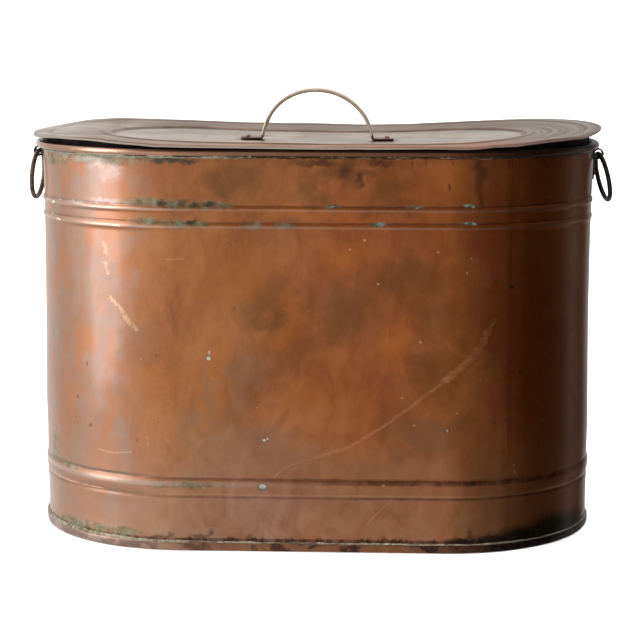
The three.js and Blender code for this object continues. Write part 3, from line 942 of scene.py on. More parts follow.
# Painted highlights: whitish patches under the rim and on the ridges at the left end
WHITE_PAINTED_HIGHLIGHTS = [
    (-206, 377, 9, 5), (-195, 371, 10, 9), (-214, 381, 20, 2.5), (-197, 341, 16, 2.2), (-232, 337.5, 8, 2),
]
CREAM_DOTS = [
    (-268, 336, 2.6, 2.4), (-259, 334, 2.8, 2), (-251, 338, 1.8, 1.8), (-262, 322, 2.6, 2.6),
    (-252, 318, 4, 1.5), (-205, 386, 34, 2), (-150, 387, 26, 1.2), (-92, 386.5, 22, 1.1),
    (-57, 386, 4, 2.4), (-190, 318.5, 7, 1.2),
]
PALE_DROPS = [(-99, 191, 2.6, 2.6), (-98.5, 197, 0.9, 2.6), (-45, 111, 2.4, 1.3), (-42, 112.5, 1.3, 1.1)]
TURQUOISE = [(-47, 65, 4.6, 3.4)]
GREEN_DOTS = [(192, 261, 2.6, 1.8), (132, 122, 2.8, 2.2), (157, 69, 2.2, 1.4)]
HAZE = [
    (-64, 104, 46, 20), (-30, 90, 44, 13), (-118, 112, 9, 26), (-90, 84, 30, 10), (-98, 150, 8, 22),
    (-66, 170, 10, 34), (-20, 48, 80, 14), (60, 50, 60, 12), (110, 120, 34, 18), (60, 84, 60, 9),
]
BRIGHT = [
    (-9, 160, 24, 9), (-160, 166, 16, 12), (-145, 180, 12, 9), (-107, 156, 9, 26), (-86, 186, 8, 24),
    (-28, 216, 20, 12), (-14, 236, 8, 14), (-70, 270, 30, 30), (10, 330, 70, 5), (-100, 55, 60, 4),
    (80, 200, 12, 26), (30, 290, 26, 12),
]
OLIVE = [
    (-78, 366, 30, 13), (40, 374, 50, 9), (75, 352, 18, 20), (96, 268, 40, 16), (118, 230, 26, 26),
    (120, 176, 22, 26), (40, 240, 24, 26), (-50, 240, 24, 18), (118, 118, 34, 20), (0, 356, 14, 20),
]
RED_ZONE = [(196, 250, 26, 95), (206, 180, 20, 60), (178, 320, 24, 40)]
# Painted highlight: a pink column on the left end where the bright light falls
PINK_PAINTED_HIGHLIGHT = [
    (-212, 350, 34, 24), (-203, 290, 26, 34), (-200, 200, 18, 50), (-196, 110, 16, 26), (-188, 44, 26, 20),
]
# Painted reflection: a grey strip of the pale surroundings along the left edge
GREY_EDGE_REFLECTION = [(-272, 250, 12, 140), (-268, 100, 9, 40)]
DARK_STAIN = [
    (159, 371, 5, 20), (160, 348, 3, 10), (131, 358, 2.2, 4), (33, 374, 6, 9), (46, 365, 3, 6),
    (64, 380, 14, 3), (4, 381, 20, 3), (-153, 12, 11, 2.2), (-140, 13, 5, 2), (-108, 13, 9, 3),
    (-99, 16, 2, 5), (-59, 14, 2, 5), (-24, 12, 8, 2), (80, 12, 12, 1.5), (140, 12, 10, 3),
    (156, 18, 3, 6),
]
DARK_DOTS = [
    (-222, 179, 1.2, 2.2), (-233, 144, 1.2, 2), (-219, 118, 1.6, 2.2), (-170, 108, 1.2, 1.4),
    (203, 177, 2.2, 2.6), (227, 123, 1.4, 1.4), (178, 129, 1.6, 1.2), (-150, 193, 1.4, 0.9),
    (-74, 240, 1, 0.8), (-72, 305, 1, 0.8),
]
PALE_DOTS = [
    (51, 307, 1.2, 1.4), (121, 296, 1.6, 0.8), (64, 265, 1.2, 1), (153, 290, 1, 1.2), (149, 276, 1, 1.2),
    (132, 122, 1.5, 1.5), (100, 127, 1, 1), (88, 154, 1, 1), (141, 139, 1, 1), (198, 85, 1, 1.2),
    (199, 78, 1, 1.4), (71, 67, 1.4, 1), (37, 298, 1, 1), (105, 209, 1.1, 1.1), (-105, 63, 1.3, 0.8),
]
# Films on the front, with a painted highlight and a painted reflection at the left end among them: spots,
# colour and share
FILMS_AND_PAINTED_LIGHT = [
    (OLIVE, (0.30, 0.110, 0.022), 0.7), (BRIGHT, (0.72, 0.235, 0.035), 0.6), (HAZE, (0.46, 0.24, 0.135), 0.5),
    (RED_ZONE, (0.46, 0.085, 0.015), 0.6), (PINK_PAINTED_HIGHLIGHT, (0.60, 0.43, 0.40), 0.6),
    (GREY_EDGE_REFLECTION, (0.60, 0.48, 0.38), 0.6),
]
# Painted light and shade on the rolled rim from the left end to the right: a painted highlight at the left,
# painted shade towards the right and a pale painted reflection at the right tip
RIM_LIGHT_AND_SHADE = [
    (0.04, (0.52, 0.27, 0.16)), (0.16, (0.74, 0.44, 0.32)), (0.28, (0.54, 0.28, 0.17)),
    (0.42, (0.34, 0.17, 0.10)), (0.72, (0.19, 0.085, 0.045)), (0.80, (0.10, 0.05, 0.03)),
    (0.9, (0.075, 0.055, 0.045)),
    (0.97, (0.10, 0.08, 0.07)), (1.0, (0.42, 0.38, 0.34)),
]
# Scratches on the front, as points of x and z
LONG_SCRATCH = [
    (177, 230), (170, 220), (160, 199), (145, 187), (124, 167), (96, 145), (72, 127), (38, 105), (4, 94),
]
BROAD_SCRATCH = [(171, 222), (165, 208), (153, 192), (128, 170)]
LOW_SCRATCH = [(-36, 74), (-24, 85), (-6, 91), (11, 95)]
FORKED_SCRATCH = [(79, 53), (63, 37), (55, 28)]
# Torn flakes: width and points
FLAKES = [
    (3.6, [(-201, 300), (-200, 290)]), (3.6, [(-201, 282), (-199, 270)]),
    (3.2, [(-197, 247), (-186, 238), (-180, 229), (-169, 217)]),
]
# Short scratches: width, share and points
SHORT_SCRATCHES = [
    (0.9, 0.45, [(-211, 95), (-196, 93), (-176, 96)]), (0.7, 0.3, [(63, 37), (57, 46)]),
    (0.8, 0.35, [(-160, 112), (-159, 104)]), (0.8, 0.3, [(-142, 111), (-138, 108)]),
    (0.8, 0.35, [(74, 222), (72, 204)]), (1.0, 0.35, [(188, 128), (192, 76)]),
    (0.8, 0.3, [(-140, 287), (-122, 288)]),
]


class Wall(Shade):
    """The wall's copper, with the masks that its films, dirt and marks share."""

    def __init__(self):
        super().__init__("aged_copper")
        self.front = self.step(self.y, -25, -60)
        self.rest = self.math("SUBTRACT", 1.0, self.front)
        self.fray = self.noise(14, 4, 0.65, shift=5)
        self.torn = self.roughened(5, 4.5, 24)
        self.crisp = self.roughened(2.2, 1.3, 34)

    def on_front(self, spots, place, soft, *shares):
        return self.times(self.blots(spots, place, soft), self.front, *shares)

    def level(self, height, half, soft):
        """1 on a level line round the wall."""
        return self.near(self.z, height, half, soft)


def wall_films(m, patch):
    """Films that the years left, by place on the front and by chance elsewhere, with painted light at the
    left end and darker, redder painted shade towards the right.
    """
    blur = m.roughened(26, 34, 4)
    for spots, tint, share in FILMS_AND_PAINTED_LIGHT:
        m.coat(m.on_front(spots, blur, 0.75, share), tint)
    # Painted shade: the right end darker and redder
    m.coat(m.times(m.step(m.x, 190, 240), 0.45), RED_PAINTED_SHADE)
    # Painted light: the left end paler
    m.coat(m.times(m.step(m.x, -130, -215), m.scale(patch, 0.35, 0.6, 0.85, 0.5)), PALE_LEFT_PAINTED_LIGHT)
    panes = m.noise(26, 5, 0.6, stretch=(1, 1, 0.5), shift=151)
    m.coat(m.times(m.step(panes, 0.48, 0.60), m.step(m.x, -110, -170), 0.6, m.front), WARM_PANE)
    m.coat(m.times(m.step(panes, 0.49, 0.38), m.step(m.x, -130, -210), 0.32, m.front), DULL_PANE)
    low = m.times(m.step(m.z, 150, 20), m.scale(patch, 0.35, 0.65, 0.35, 0.85), m.step(m.x, 290, 150))
    m.coat(low, LOW_FILM)
    # Painted shade: the front darker and redder from the middle to the right
    m.coat(m.times(m.step(m.x, -70, 60), m.front), REDDER_RIGHT_SHADE, blend="MULTIPLY")
    # Painted shade on the right tip, stronger low down
    m.coat(m.times(m.step(m.x, 216, 262), m.scale(m.z, 60, 380, 0.7, 0.5)), RIGHT_TIP_PAINTED_SHADE)
    m.coat(m.times(m.rest, m.step(m.noise(60, 4, 0.6, shift=90), 0.5, 0.62), 0.5), BACK_FILM)


def wall_dirt(m):
    """Dirt in the creases, over the seam, under the rim and in stains; gives how thick it lies."""
    upper = [m.level(height, 0.5, 1.0) for height in UPPER_CREASES]
    fading = m.scale(m.step(m.x, 0, 100), 0, 1, 1.0, 0.45)
    lower = m.times(m.level(LOWER_CREASES[0], 0.6, 1.5), fading)
    creases = m.top(*upper, m.level(LOWER_CREASES[1], 0.5, 1.3), lower)
    darker = m.scale(m.step(m.x, -60, 120), 0, 1, 0.5, 0.8)
    creases = m.times(creases, m.scale(m.fray, 0.3, 0.65, 0.25, 0.85), darker)
    uneven = m.scale(m.fray, 0.35, 0.6, 0.3, 0.85)
    red_line = m.times(m.level(RED_LINE, 1.3, 2.6), m.step(m.x, -60, 60), uneven)
    m.coat(m.top(creases, m.times(red_line, m.front)), RED_DIRT)
    dark_line = m.times(m.level(DARK_LINE, 1.0, 2.0), m.step(m.x, 50, 150), m.step(m.fray, 0.48, 0.66), 0.5)
    lines = m.top(m.level(RIM_CREASE, 0.8, 1.2), m.times(dark_line, m.front))
    runs = m.noise(9, 3, 0.6, stretch=(1, 1, 0.3), shift=120)
    foot = m.top(m.times(m.level(10.4, 1.2, 1.6), m.scale(runs, 0.4, 0.55, 0.45, 0.9)),
                 m.times(m.level(11.0, 0.6, 3.6), m.step(runs, 0.55, 0.62)))
    right_foot = m.times(m.level(10, 6, 14), m.step(m.x, 180, 225), m.scale(runs, 0.4, 0.6, 0.5, 0.95))
    drips = m.times(m.level(384, 1, 12), m.step(runs, 0.55, 0.66), m.step(m.x, -90, 20), 0.4)
    dirt = m.top(lines, m.times(foot, 0.9), drips, m.times(right_foot, m.front))
    dirt = m.top(dirt, m.on_front(DARK_STAIN, m.roughened(13, 9, 14), 0.7, 0.55))
    m.coat(dirt, DIRT)
    return dirt


def wall_verdigris(m):
    """Verdigris, by place on the front and scattered along the creases elsewhere, with white painted
    highlights among it at the left end; gives film and crust.
    """
    scatter = m.top(m.level(341, 1.5, 3), m.level(323.6, 1.2, 2.4), m.level(384, 2, 5), m.level(74, 1, 2))
    scatter = m.times(scatter, m.step(m.noise(55, 3, 0.6, shift=130), 0.52, 0.62), m.rest)
    film = m.top(m.on_front(GREEN_FILM, m.torn, 0.6), scatter)
    film = m.times(film, m.scale(m.fray, 0.34, 0.54, 0.3, 1.0))
    chalky = m.times(m.step(film, 0.35, 0.75), m.top(m.step(m.x, -30, 20), m.rest))
    m.coat(m.times(film, 0.85), m.ramp(m.noise(9, 4, 0.65, shift=96), THIN_GREEN))
    m.coat(chalky, m.ramp(m.noise(7, 3, 0.6, shift=66), CHALK))
    # Painted shade: the dark verdigris darker at the right end than at the left
    dark_green = m.mix(m.step(m.x, 0, 100), DARK_GREEN_LIT_LEFT, DARK_GREEN_SHADED_RIGHT)
    m.coat(m.on_front(GREEN_DARK, m.torn, 0.6, 0.9), dark_green)
    # Painted highlights, whitish, at the left end
    m.coat(m.on_front(WHITE_PAINTED_HIGHLIGHTS, m.torn, 0.9, m.scale(m.fray, 0.34, 0.54, 0.15, 0.55)), HIGHLIGHT_WHITE)
    cream = m.on_front(CREAM_DOTS, m.torn, 0.4, m.step(m.fray, 0.36, 0.46))
    cream = m.top(cream, m.on_front(PALE_DROPS, m.crisp, 0.4))
    m.coat(cream, CREAM)
    pale_line = m.top(m.level(56.0, 0.3, 0.7), m.times(m.level(74.2, 0.4, 1.0), 0.8))
    pale_line = m.times(pale_line, m.step(m.x, -140, -215), m.scale(m.fray, 0.3, 0.5, 0.6, 1.0))
    m.coat(pale_line, PALE_GREY)
    turquoise = m.on_front(TURQUOISE, m.crisp, 0.4)
    m.coat(turquoise, BLUE_GREEN)
    m.coat(m.on_front(GREEN_DOTS, m.crisp, 0.45, 0.8), LEAF_GREEN)
    return film, m.top(chalky, cream, turquoise, pale_line)


def rubbed_and_lit_crests(m):
    """Crests of the bands, rubbed, and with a painted highlight that is strongest at the left end; gives
    where.
    """
    lower = m.times(m.level(LOWER_CREST, 1.2, 2.2), m.step(m.x, 60, -40))
    crests = m.top(*[m.level(height, 0.7, 1.0) for height in UPPER_CRESTS], lower)
    # Painted highlight on the crests, strongest at the left end
    crests = m.times(crests, m.scale(m.step(m.x, -110, -180), 0, 1, 0.2, 0.75))
    m.coat(crests, CREST_WEAR_AND_HIGHLIGHT)
    m.coat(m.times(m.level(LOWER_CREST_FOOT, 0.4, 1.0), m.scale(m.fray, 0.35, 0.6, 0.7, 0.3)), WORN_LOW_CREST)
    return crests


def pits_and_specks(m):
    pits = m.times(m.dots(26, 40, 0.02, 0.03), m.step(m.noise(50, 2, 0.5, shift=8), 0.48, 0.54))
    m.coat(m.times(m.top(pits, m.on_front(DARK_DOTS, m.crisp, 0.4)), 0.5), PIT)
    specks = m.times(m.dots(30, 77, 0.015, 0.02), m.step(m.noise(50, 2, 0.5, shift=28), 0.5, 0.56))
    m.coat(m.times(m.top(specks, m.on_front(PALE_DOTS, m.crisp, 0.4)), 0.75), BARE_SPECK)


def wall_scratches(m, hairs):
    streaky = m.noise(6, 3, 0.6, shift=71)
    broken = m.top(streaky, hairs)
    flaked = m.step(m.noise(3.2, 3, 0.7, shift=171), 0.40, 0.48)
    marks = [
        m.times(m.stroke(LONG_SCRATCH, 2.4, m.crisp), m.scale(broken, 0.42, 0.6, 0.05, 0.5)),
        m.times(m.stroke(BROAD_SCRATCH, 5, m.torn), m.scale(broken, 0.42, 0.6, 0.1, 0.55)),
        m.times(m.stroke(LOW_SCRATCH, 0.8, m.crisp), m.scale(streaky, 0.35, 0.6, 0.1, 0.5)),
        m.times(m.stroke(FORKED_SCRATCH, 0.7, m.crisp), m.scale(streaky, 0.35, 0.6, 0.2, 0.9)),
    ]
    marks += [m.times(m.stroke(points, width, m.torn), flaked, 0.5) for width, points in FLAKES]
    marks += [m.times(m.stroke(points, width, m.crisp), share) for width, share, points in SHORT_SCRATCHES]
    m.coat(m.times(m.top(*marks), m.front), m.mix(m.step(m.x, -120, 0), SCRATCH_LEFT, SCRATCH_RIGHT))


def rolled_rim(m):
    """The rim: rubbed and with a painted highlight at the left, painted shade at the right, and a black
    painted shadow under the lid. Gives its two masks.
    """
    rim = m.step(m.z, *RIM_UNDERSIDE)
    # Painted highlight at the rim's left end, painted shade towards the right and a pale painted reflection
    # at the right tip
    tones = m.ramp(m.scale(m.x, -290, 290, 0, 1), RIM_LIGHT_AND_SHADE)
    m.coat(m.times(rim, m.scale(m.fray, 0.3, 0.6, 0.75, 0.95)), tones)
    # Painted shadow: black on the rim's top under the lid, fainter at the left end where the lid lifts off
    black = m.times(m.step(m.z, *UNDER_LID_TOP), m.scale(m.step(m.x, -215, -110), 0, 1, 0.12, 0.94))
    m.coat(black, LID_SHADOW_BLACK)
    return rim, black


def copper_wall():
    m = Wall()
    cloud = m.noise(85, 3, 0.5, twist=0.5)
    patch = m.noise(30, 6, 0.62, twist=1.1, shift=37, stretch=(1, 1, 0.7))
    grain = m.noise(7, 4, 0.62, shift=11, stretch=(1, 1, 0.5))
    hairs = m.noise(3.0, 3, 0.7, stretch=(0.12, 1, 1.4), shift=15)
    mottle = m.weighed((cloud, 0.44), (patch, 0.38), (grain, 0.18))
    m.colour = m.ramp(mottle, [(0.38, COPPER_DARK), (0.5, COPPER_MIDDLE), (0.61, COPPER_LIGHT)])
    wall_films(m, patch)
    dirt = wall_dirt(m)
    film, crust = wall_verdigris(m)
    crests = rubbed_and_lit_crests(m)
    pits_and_specks(m)
    wall_scratches(m, hairs)
    rim, black = rolled_rim(m)
    crust = m.times(m.step(crust, 0.75, 1.0), m.math("SUBTRACT", 1.0, rim))
    dull = m.top(crust, film, m.times(dirt, 0.8), black)
    rubbed = m.top(m.times(rim, m.step(m.x, -60, -160), 0.8), m.times(crests, 0.8))
    right = m.step(m.x, 200, 250)
    rough = m.blend(dull, m.scale(mottle, 0.38, 0.62, *WALL_ROUGH), 0.75)
    dents = m.noise(40, 3, 0.5, shift=19)
    normal = m.bump((dents, 0.16), (grain, 0.05), (hairs, 0.012), (m.times(film, m.fray), 0.22))
    return m.finish(
        Metallic=m.blend(m.times(crust, 0.95), 1.0, 0.0),
        Roughness=m.blend(rubbed, rough, 0.26),
        Specular_Tint=m.mix(m.times(right, m.front), (1.0, 1.0, 1.0), (1.0, 0.84, 0.72)),
        Normal=normal,
        Coat_Weight=m.blend(m.top(dull, m.times(right, 0.8)), WALL_COAT, 0.25),
        Coat_Roughness=0.17,
        Coat_IOR=1.5,
    )


def rivet_copper():
    m = Shade("rivet_copper")
    mottle = m.weighed((m.noise(5, 4, 0.62, twist=0.8), 0.75), (m.noise(1, 3, 0.6, shift=31), 0.25))
    m.colour = m.ramp(mottle, [
        (0.36, (0.13, 0.05, 0.03)), (0.5, (0.28, 0.13, 0.08)), (0.64, (0.46, 0.25, 0.16)),
    ])
    normal = m.bump((m.noise(5, 3, 0.5, shift=3), 0.1), (m.noise(1.6, 3, 0.6, shift=9), 0.02))
    roughness = m.scale(mottle, 0.35, 0.65, 0.55, 0.42)
    return m.finish(Metallic=1.0, Roughness=roughness, Normal=normal, Coat_Weight=0.5, **THIN_COAT)


def foot_copper():
    """The folded foot: darker and dirtier than the wall, with painted light at the left end and painted
    shade, near black, at the right end.
    """
    m = Shade("foot_copper")
    cloud = m.noise(26, 4, 0.6, twist=0.7)
    # Painted light and shade along the foot: pale at the left end, near black at the right end
    m.colour = m.ramp(m.scale(m.x, -290, 290, 0, 1), [
        (0.05, (0.60, 0.46, 0.40)), (0.2, (0.58, 0.38, 0.30)), (0.35, (0.46, 0.21, 0.11)),
        (0.65, (0.40, 0.165, 0.075)), (0.80, (0.15, 0.08, 0.055)), (0.92, (0.05, 0.04, 0.03)),
        (1.0, (0.05, 0.045, 0.035)),
    ])
    m.coat(m.times(m.step(cloud, 0.52, 0.42), m.scale(m.x, -200, 0, 0.35, 0.8)), (0.045, 0.020, 0.018))
    uneven = m.step(m.noise(11, 3, 0.6, shift=5), 0.42, 0.6)
    worn = m.times(m.near(m.z, 8.0, 0.5, 1.2), uneven, m.step(m.x, 200, 60))
    m.coat(m.times(worn, 0.5), (0.66, 0.36, 0.24))
    normal = m.bump((m.noise(12, 3, 0.5, shift=3), 0.15), (m.noise(1.8, 3, 0.6, shift=9), 0.03))
    roughness = m.scale(cloud, 0.35, 0.65, 0.6, 0.42)
    return m.finish(Metallic=1.0, Roughness=roughness, Normal=normal, Coat_Weight=0.3, **THIN_COAT)


def lid_inset(m):
    """Distance in from the lid's even outline, as far as the bead and the middle are drawn in."""
    reach = m.math("MAXIMUM", m.math("SUBTRACT", m.math("ABSOLUTE", m.x), SIDE_HALF), 0.0)
    flat = m.node("ShaderNodeCombineXYZ", {0: reach, 1: m.y}).outputs[0]
    inset = m.math("SUBTRACT", LID_REACH, m.length(flat))
    right = m.times(m.step(m.x, *DRAWN_FROM), DRAWN_RIGHT)
    left = m.times(m.step(m.x, *[-x for x in DRAWN_FROM]), DRAWN_LEFT)
    return m.math("SUBTRACT", inset, m.times(m.math("ADD", right, left), m.step(inset, *DRAWN_INSET)))


def lid_films(m, inset, streak):
    patches = m.step(m.noise(45, 3, 0.6, shift=7), 0.25, 0.5)
    m.coat(m.times(m.step(m.y, 60, 110), patches, 0.7, m.step(inset, 66, 56)), (0.25, 0.18, 0.125))
    mauve = m.times(m.step(m.x, 20, 110), m.step(inset, 60, 48), m.step(m.y, -60, -110), 0.7)
    m.coat(mauve, (0.30, 0.13, 0.10))
    tip = m.times(m.step(m.x, 165, 250), m.scale(streak, 0.35, 0.6, 0.5, 0.95), m.step(inset, 66, 56))
    m.coat(tip, (0.20, 0.15, 0.115))
    m.coat(m.times(m.step(m.x, -215, -270), m.scale(streak, 0.35, 0.6, 0.3, 0.9)), (0.62, 0.53, 0.48))


def lid_dirt(m, inset):
    """Dirt along the bead, the step and the folded edge, round the handle's feet and in spots."""
    lines = m.top(
        m.near(inset, 66.4, 1.6, 2.2), m.near(inset, 54.6, 1.6, 2.2),
        m.times(m.near(inset, 14.4, 1.2, 1.6), 0.7),
        m.times(m.near(inset, 2.0, 0.8, 1.2), m.step(m.y, 40, 110), 0.8),
    )
    uneven = m.scale(m.noise(30, 3, 0.6, shift=61), 0.35, 0.6, 0.5, 0.95)
    m.coat(m.times(lines, uneven, 0.8), (0.085, 0.065, 0.052))
    feet = m.times(m.near(m.math("ABSOLUTE", m.x), 69, 11, 6), m.near(m.y, 0, 13, 5), 0.7)
    m.coat(feet, (0.16, 0.06, 0.04))
    m.coat(m.times(m.step(m.noise(8, 4, 0.65, shift=51), 0.6, 0.7), 0.5), (0.16, 0.115, 0.085))


def lid_hem(m, inset):
    """The upright face of the folded edge, pale with oxide; gives where."""
    hem = m.times(m.step(inset, 0.9, 0.3), m.step(m.y, 40, 0), m.scale(m.step(m.x, 120, 240), 0, 1, 1.0, 0.5))
    m.coat(hem, m.mix(m.step(m.x, 60, 150), (0.20, 0.165, 0.14), (0.13, 0.085, 0.075)))
    return hem


def lid_grazing(m, inset):
    """What the lid's film takes from grazing light."""
    front = m.mix(m.step(m.x, -60, -130), (0.97, 0.70, 0.55), (1.0, 0.90, 0.82))
    edge = m.mix(m.step(m.y, -70, 60), front, (0.71, 0.68, 0.66))
    middle = m.mix(m.step(m.x, -60, 120), (0.95, 0.98, 0.98), (0.82, 0.86, 0.88))
    edge = m.mix(m.step(inset, 64, 72), edge, middle)
    edge = m.mix(m.step(m.x, -160, -215), edge, (1.0, 1.0, 1.0))
    round_place = m.node("ShaderNodeCombineXYZ", {0: inset}).outputs[0]
    rings = m.node("ShaderNodeTexNoise", {"Vector": round_place, "Scale": 0.16, "Detail": 2.0}).outputs["Fac"]
    right = m.mix(m.step(rings, 0.42, 0.58), (0.64, 0.61, 0.59), (1.0, 1.0, 1.0))
    return m.mix(m.times(m.step(m.x, 150, 220), m.step(inset, 66, 56)), edge, right)


def lid_copper():
    m = Shade("lid_patina")
    inset = lid_inset(m)
    streak = m.noise(14, 3, 0.55, stretch=(0.5, 1, 1), shift=21)
    mottle = m.weighed((m.noise(80, 3, 0.5, twist=0.8), 0.65), (streak, 0.35))
    flange = m.ramp(mottle, [
        (0.38, (0.29, 0.185, 0.135)), (0.5, (0.38, 0.26, 0.20)), (0.62, (0.47, 0.345, 0.28)),
    ])
    middle = m.ramp(mottle, [
        (0.38, (0.42, 0.325, 0.27)), (0.5, (0.52, 0.415, 0.35)), (0.62, (0.61, 0.51, 0.445)),
    ])
    m.colour = m.mix(m.step(inset, 64, 74), flange, middle)
    lid_films(m, inset, streak)
    lid_dirt(m, inset)
    hem = lid_hem(m, inset)
    normal = m.bump((m.noise(30, 3, 0.5, shift=3), 0.08), (m.noise(2.2, 4, 0.6, shift=9), 0.015))
    return m.finish(Metallic=m.blend(hem, 1.0, 0.2), Roughness=m.scale(mottle, 0.35, 0.65, 0.46, 0.36),
                    Specular_Tint=lid_grazing(m, inset), Normal=normal, Coat_Weight=0.18, **THIN_COAT)


def dark_copper():
    """The lid's underside and collar, near black as painted shade in the gap under the lid."""
    m = Shade("shaded_underside_copper")
    cloud = m.noise(20, 4, 0.6)
    m.colour = m.ramp(cloud, [
        (0.36, (0.003, 0.002, 0.002)), (0.5, (0.008, 0.005, 0.004)), (0.66, (0.022, 0.012, 0.008)),
    ])
    normal = m.bump((m.noise(3, 3, 0.6, shift=9), 0.05))
    return m.finish(Metallic=0.6, Roughness=m.scale(cloud, 0.3, 0.7, 0.85, 0.65), Normal=normal)


def foot_solder():
    m = Shade("cream_solder")
    spots = m.noise(5, 4, 0.65)
    m.colour = m.ramp(spots, [
        (0.36, (0.10, 0.075, 0.045)), (0.48, (0.22, 0.185, 0.125)), (0.62, (0.33, 0.29, 0.215)),
    ])
    m.coat(m.times(m.step(m.noise(36, 3, 0.6, shift=14), 0.54, 0.62), 0.8), (0.10, 0.05, 0.03))
    # Painted shade: darker towards the right end
    m.coat(m.times(m.step(m.x, 130, 220), 0.8), (0.06, 0.062, 0.042))
    normal = m.bump((m.noise(3, 3, 0.6, shift=9), 0.15))
    return m.finish(Metallic=0.35, Roughness=m.scale(spots, 0.3, 0.7, 0.6, 0.45), Normal=normal)


def rim_solder_metal():
    """Clean and grey at the left, brown with dirt in the middle, and black with painted shade at the right.
    """
    m = Shade("dirty_solder")
    spots = m.noise(6, 4, 0.65)
    clean = m.ramp(spots, [
        (0.36, (0.15, 0.155, 0.11)), (0.5, (0.28, 0.285, 0.225)), (0.62, (0.42, 0.415, 0.35)),
    ])
    brown = m.ramp(spots, [
        (0.36, (0.026, 0.014, 0.009)), (0.52, (0.085, 0.050, 0.028)), (0.64, (0.24, 0.185, 0.115)),
    ])
    m.colour = m.mix(m.step(m.x, -40, -130), brown, clean)
    # Painted shade: black towards the right end
    m.coat(m.times(m.step(m.x, 140, 200), 0.85), (0.018, 0.018, 0.013))
    normal = m.bump((m.noise(3, 3, 0.6, shift=9), 0.15))
    return m.finish(Metallic=0.5, Roughness=m.scale(spots, 0.3, 0.7, 0.65, 0.5), Normal=normal)


def tin_lining():
    """The tinned inside, black near the top as painted shade under the lid."""
    m = Shade("tin_lining")
    spots = m.noise(22, 5, 0.65, twist=0.6)
    m.colour = m.ramp(spots, [
        (0.35, (0.40, 0.37, 0.33)), (0.5, (0.58, 0.555, 0.51)), (0.66, (0.72, 0.70, 0.66)),
    ])
    # Painted shade: black near the top of the lining, under the lid
    m.coat(m.step(m.z, 352, 374), (0.012, 0.010, 0.009))
    normal = m.bump((m.noise(5, 3, 0.6, shift=9), 0.06))
    return m.finish(Metallic=0.85, Roughness=m.scale(spots, 0.3, 0.7, 0.5, 0.36), Normal=normal)


def handle_metal():
    """Worn pale strap, dark and red round its feet."""
    m = Shade("handle_copper")
    fine = m.noise(3, 3, 0.6, shift=31)
    mottle = m.weighed((m.noise(15, 4, 0.62, twist=0.6), 0.7), (fine, 0.3))
    m.colour = m.ramp(mottle, [
        (0.36, (0.50, 0.36, 0.25)), (0.5, (0.66, 0.53, 0.41)), (0.64, (0.76, 0.66, 0.54)),
    ])
    low = m.step(m.math("ADD", m.z, m.times(fine, 3)), 401, 397)
    m.coat(m.times(low, 0.92), (0.13, 0.045, 0.03))
    scratches = m.noise(1.6, 3, 0.7, stretch=(0.2, 1, 0.2), shift=12)
    normal = m.bump((m.noise(9, 3, 0.5, shift=3), 0.08), (scratches, 0.02))
    roughness = m.scale(mottle, 0.35, 0.65, 0.5, 0.36)
    metal = m.blend(low, 0.82, 1.0)
    return m.finish(Metallic=metal, Roughness=roughness, Normal=normal, Coat_Weight=0.3, **THIN_COAT)


def iron(name, dark, light, rust, rough=(0.42, 0.6)):
    m = Shade(name)
    spots = m.noise(5, 5, 0.65)
    m.colour = m.ramp(spots, [(0.36, dark), (0.6, light)])
    m.coat(m.times(m.step(m.noise(9, 4, 0.6, shift=44), 0.5, 0.62), 0.7), rust)
    normal = m.bump((m.noise(2.2, 4, 0.6, shift=9), 0.12))
    return m.finish(Metallic=0.85, Roughness=m.scale(spots, 0.3, 0.7, *rough), Normal=normal)


def floor_paint():
    m = Shade("pale_floor")
    m.colour = m.ramp(m.noise(900, 2, 0.5), [(0.3, (0.94, 0.94, 0.93)), (0.7, (0.96, 0.96, 0.95))])
    return m.finish(Roughness=0.95)


# Light, floor and camera

# Brightness of what the metal mirrors, by compass direction in degrees from the camera's side to the right
LEVEL_GLOW = [
    (-180, 0.95), (-135, 0.8), (-122, 0.62), (-108, 0.60), (-95, 0.60), (-81, 0.56), (-68, 0.44),
    (-52, 0.40), (-38, 0.48), (-20, 0.88), (-8, 0.93), (-4, 0.65), (0, 0.34), (4, 0.12), (8, 0.12),
    (20, 0.15), (32, 0.125), (45, 0.075), (57, 0.028), (70, 0.009), (85, 0.003), (99, 0.003), (104, 0.03),
    (109, 0.21),
    (114, 0.36), (120, 0.45), (128, 0.22), (134, 0.07), (142, 0.06), (149, 0.35), (157, 0.8), (180, 0.95),
]
HIGH_GLOW = [
    (-180, 0.9), (-125, 0.8), (-105, 0.9), (-50, 0.9), (-30, 0.3), (-10, 0.1), (20, 0.05), (100, 0.05),
    (130, 0.3), (155, 0.8), (180, 0.9),
]
TOP_GLOW = (0.3, 0.3, 0.3)
EVEN_GLOW = 2.0
# The camera, as fitted to the photograph: place in metres, angles in degrees, lens and width in pixels
CAMERA_PLACE = (0.0767, -2.0456, 0.531)
CAMERA_YAW = 2.06
CAMERA_PITCH = 9.03
CAMERA_ROLL = -0.19
LENS_PIXELS = 1999.0
PHOTO_PIXELS = 640.0
SENSOR = 36.0
FLOOR_HALF = 20.0
FLOOR_DROP = 0.0003


def glow_stops(table):
    return [((degrees + 180) / 360, (value, value * 0.985, value * 0.96)) for degrees, value in table]


